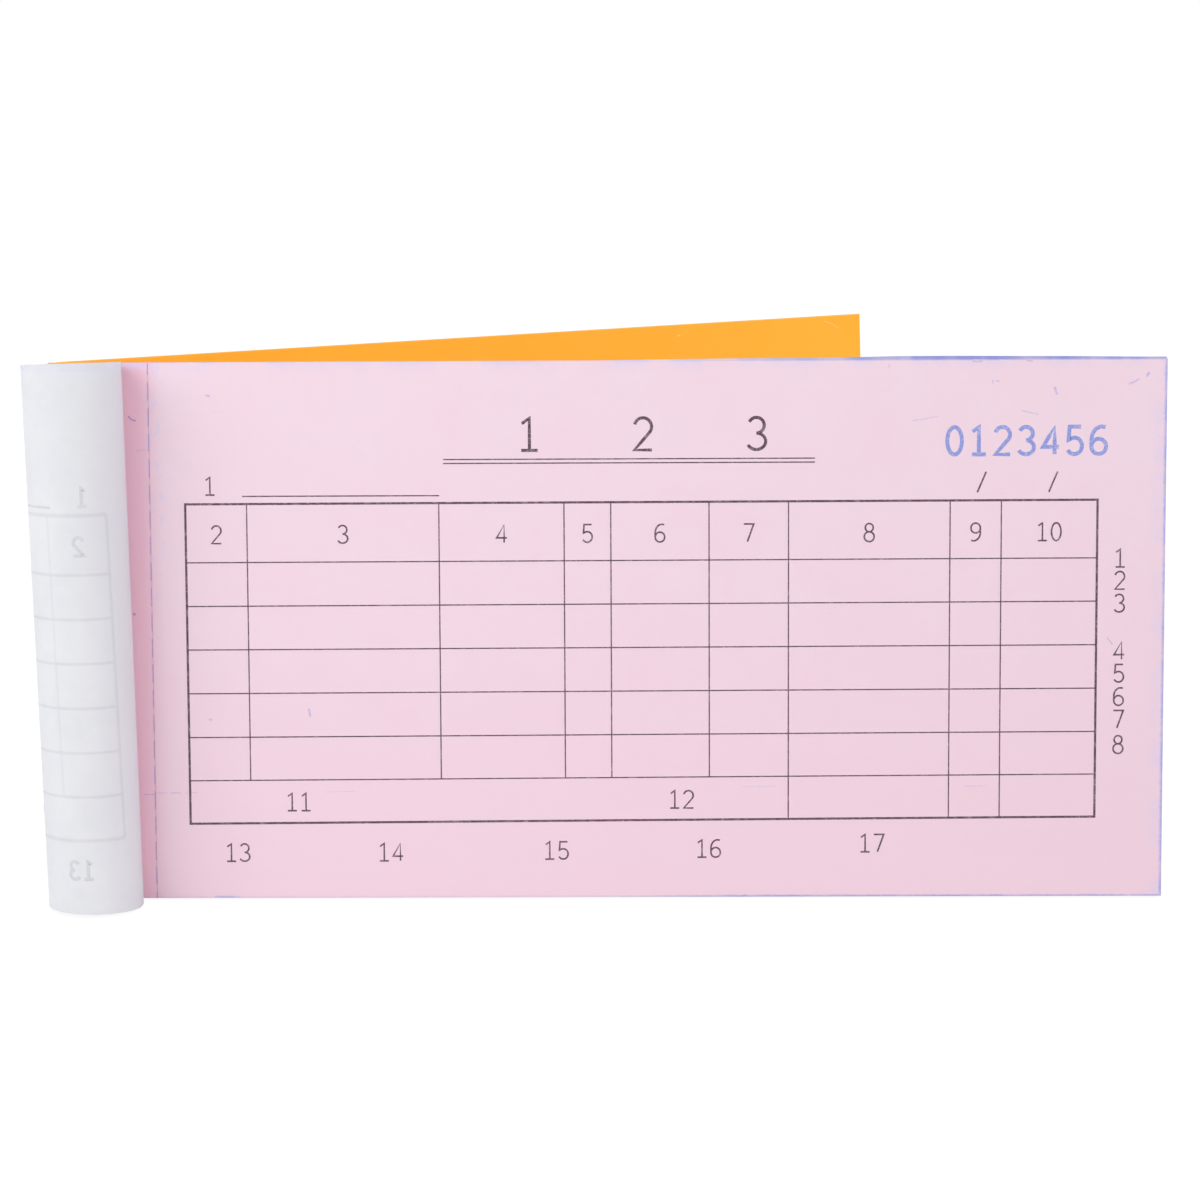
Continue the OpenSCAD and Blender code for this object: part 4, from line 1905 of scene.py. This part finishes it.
SUNS: Tuple[Tuple[str, Place, float, float], ...] = (
    ("left_lamp", (-0.95, -0.15, 0.27), 0.55, 40.0),
    ("fill_lamp", (0.60, -0.62, 0.50), 0.78, 50.0),
    ("side_lamp", (0.95, -0.06, 0.30), 1.08, 40.0),
    ("back_lamp", (-0.20, 0.82, 0.54), 0.9, 60.0),
)


@dataclass
class Studio:
    """Camera, pale floor and plain soft light."""

    eye: Place = (0.00671, -0.56087, 0.12880)
    yaw: float = 0.695
    pitch: float = -8.962
    roll: float = 0.309
    lens: float = 98.934
    sensor: float = 36.0
    clip: Point = (0.01, 200.0)
    surroundings: float = 0.30
    pale: float = 1.0
    floor_reach: float = 60.0
    floor_z: float = -0.0001
    floor_grey: Colour = (0.8, 0.8, 0.8, 1.0)
    floor_glow: float = 1.09
    glow_share: float = 0.85
    key_place: Place = (-0.70, -0.70, 0.70)
    key_aim: Place = (0.0, -0.04, 0.04)
    key_power: float = 6.85
    key_size: float = 0.8

    def camera(self) -> None:
        """Sets up the camera at the photograph's viewing angle."""
        data = bpy.data.cameras.new("camera")
        data.sensor_width, data.lens = self.sensor, self.lens
        data.clip_start, data.clip_end = self.clip
        camera = placed("camera", data)
        turn = Matrix.Translation(Vector(self.eye))
        for angle, axis in ((self.yaw, "Z"), (self.pitch, "X"), (self.roll, "Y"), (90.0, "X")):
            turn = turn @ Matrix.Rotation(math.radians(angle), 4, axis)
        camera.matrix_world = turn
        bpy.context.scene.camera = camera

    def lamp(
        self, kind: str, name: str, place: Place, aim: Place, energy: float,
    ) -> bpy.types.Light:
        """Adds a lamp that faces the book.

        Args:
            kind: Type of the lamp.
            name: Its name.
            place: Its place in metres, or the direction to it where it is distant.
            aim: Point that it faces.
            energy: Its strength.

        Returns:
            The lamp's data.
        """
        data = bpy.data.lights.new(name, kind)
        data.energy = energy
        lamp = placed(name, data)
        lamp.location = place
        lamp.rotation_euler = (Vector(aim) - Vector(place)).to_track_quat("-Z", "Y").to_euler()
        return data

    def floor(self) -> None:
        """Lays the pale floor, which keeps the book's shadow."""
        data = bpy.data.meshes.new("floor")
        far, low = self.floor_reach, self.floor_z
        corners = [(-far, -far, low), (far, -far, low), (far, far, low), (-far, far, low)]
        data.from_pydata(corners, [], [(0, 1, 2, 3)])
        g = Graph(bpy.data.materials.new("pale_floor"))
        rays = g.node("ShaderNodeLightPath", out="Is Camera Ray")
        seen = rays + rays.beside("Is Glossy Ray") + rays.beside("Is Transmission Ray")
        lit = {"Color": PURE_WHITE, "Strength": self.floor_glow}
        glow = g.node("ShaderNodeEmission", None, lit)
        matt = g.node("ShaderNodeBsdfDiffuse", None, {"Color": self.floor_grey})
        share = seen.least(1.0) * self.glow_share
        g.close(g.node("ShaderNodeMixShader", None, {0: share, 1: matt, 2: glow}))
        data.materials.append(g.owner)
        placed("floor", data)

    def world(self) -> None:
        """Fills the surroundings with even light, seen as a pale background."""
        g = Graph(bpy.data.worlds.new("surroundings"))
        bpy.context.scene.world = g.owner
        rays = g.node("ShaderNodeLightPath", out="Is Camera Ray")
        seen = rays.most(rays.beside("Is Glossy Ray").most(rays.beside("Is Transmission Ray")))
        light, sky = (
            g.node("ShaderNodeBackground", None, {"Color": PURE_WHITE, "Strength": strength})
            for strength in (self.surroundings, self.pale)
        )
        shader = g.node("ShaderNodeMixShader", None, {0: seen, 1: light, 2: sky})
        g.close(shader, "ShaderNodeOutputWorld")

    def build(self) -> None:
        """Sets up the whole studio."""
        bpy.context.scene.view_settings.view_transform = "Standard"
        self.camera()
        self.world()
        self.floor()
        key = self.lamp("AREA", "key_lamp", self.key_place, self.key_aim, self.key_power)
        key.size = self.key_size
        for name, towards, strength, spread in SUNS:
            self.lamp("SUN", name, towards, (0.0, 0.0, 0.0), strength).angle = math.radians(spread)


def report(*pieces: Piece) -> None:
    """Logs pieces as they are made."""
    for piece in pieces:
        LOG.info("%s: %d faces", piece.name, len(piece.data.polygons))


def main() -> None:
    """Builds the studio, then the book from its back to its front."""
    logging.basicConfig(level=logging.INFO, format="%(name)s: %(message)s")
    Studio().build()
    palette = Palette()
    report(BackCard().build(palette.card))
    report(*LeafBlock().build(palette))
    third = TornOffLeaf(3, "third_leaf", Body.THIRD_LEAF, Slot.WHITE, turning_room=0.03)
    second = TornOffLeaf(
        2, "second_leaf", Body.SECOND_LEAF, Slot.PINK, turning_room=0.112,
        relief=LyingRelief(), stand=(0.07, 0.27), gives_way_to="third_leaf_turn",
    )
    white_inks = (palette.ruling_white, palette.serial)
    pink_inks = (palette.ruling, palette.serial, palette.scuff, palette.stub_scuff)
    report(*third.build(palette.white, white_inks))
    report(*second.build(palette.pink, pink_inks))
    report(*CoverCard().build(palette.card, palette.scratch))
    report(*TurnedLeaf().build(palette))
    for node, middle in zip(("staple_low", "staple_high"), STAPLE.middles):
        report(STAPLE.build(node, middle, palette.wire))


if __name__ == "__main__":
    main()
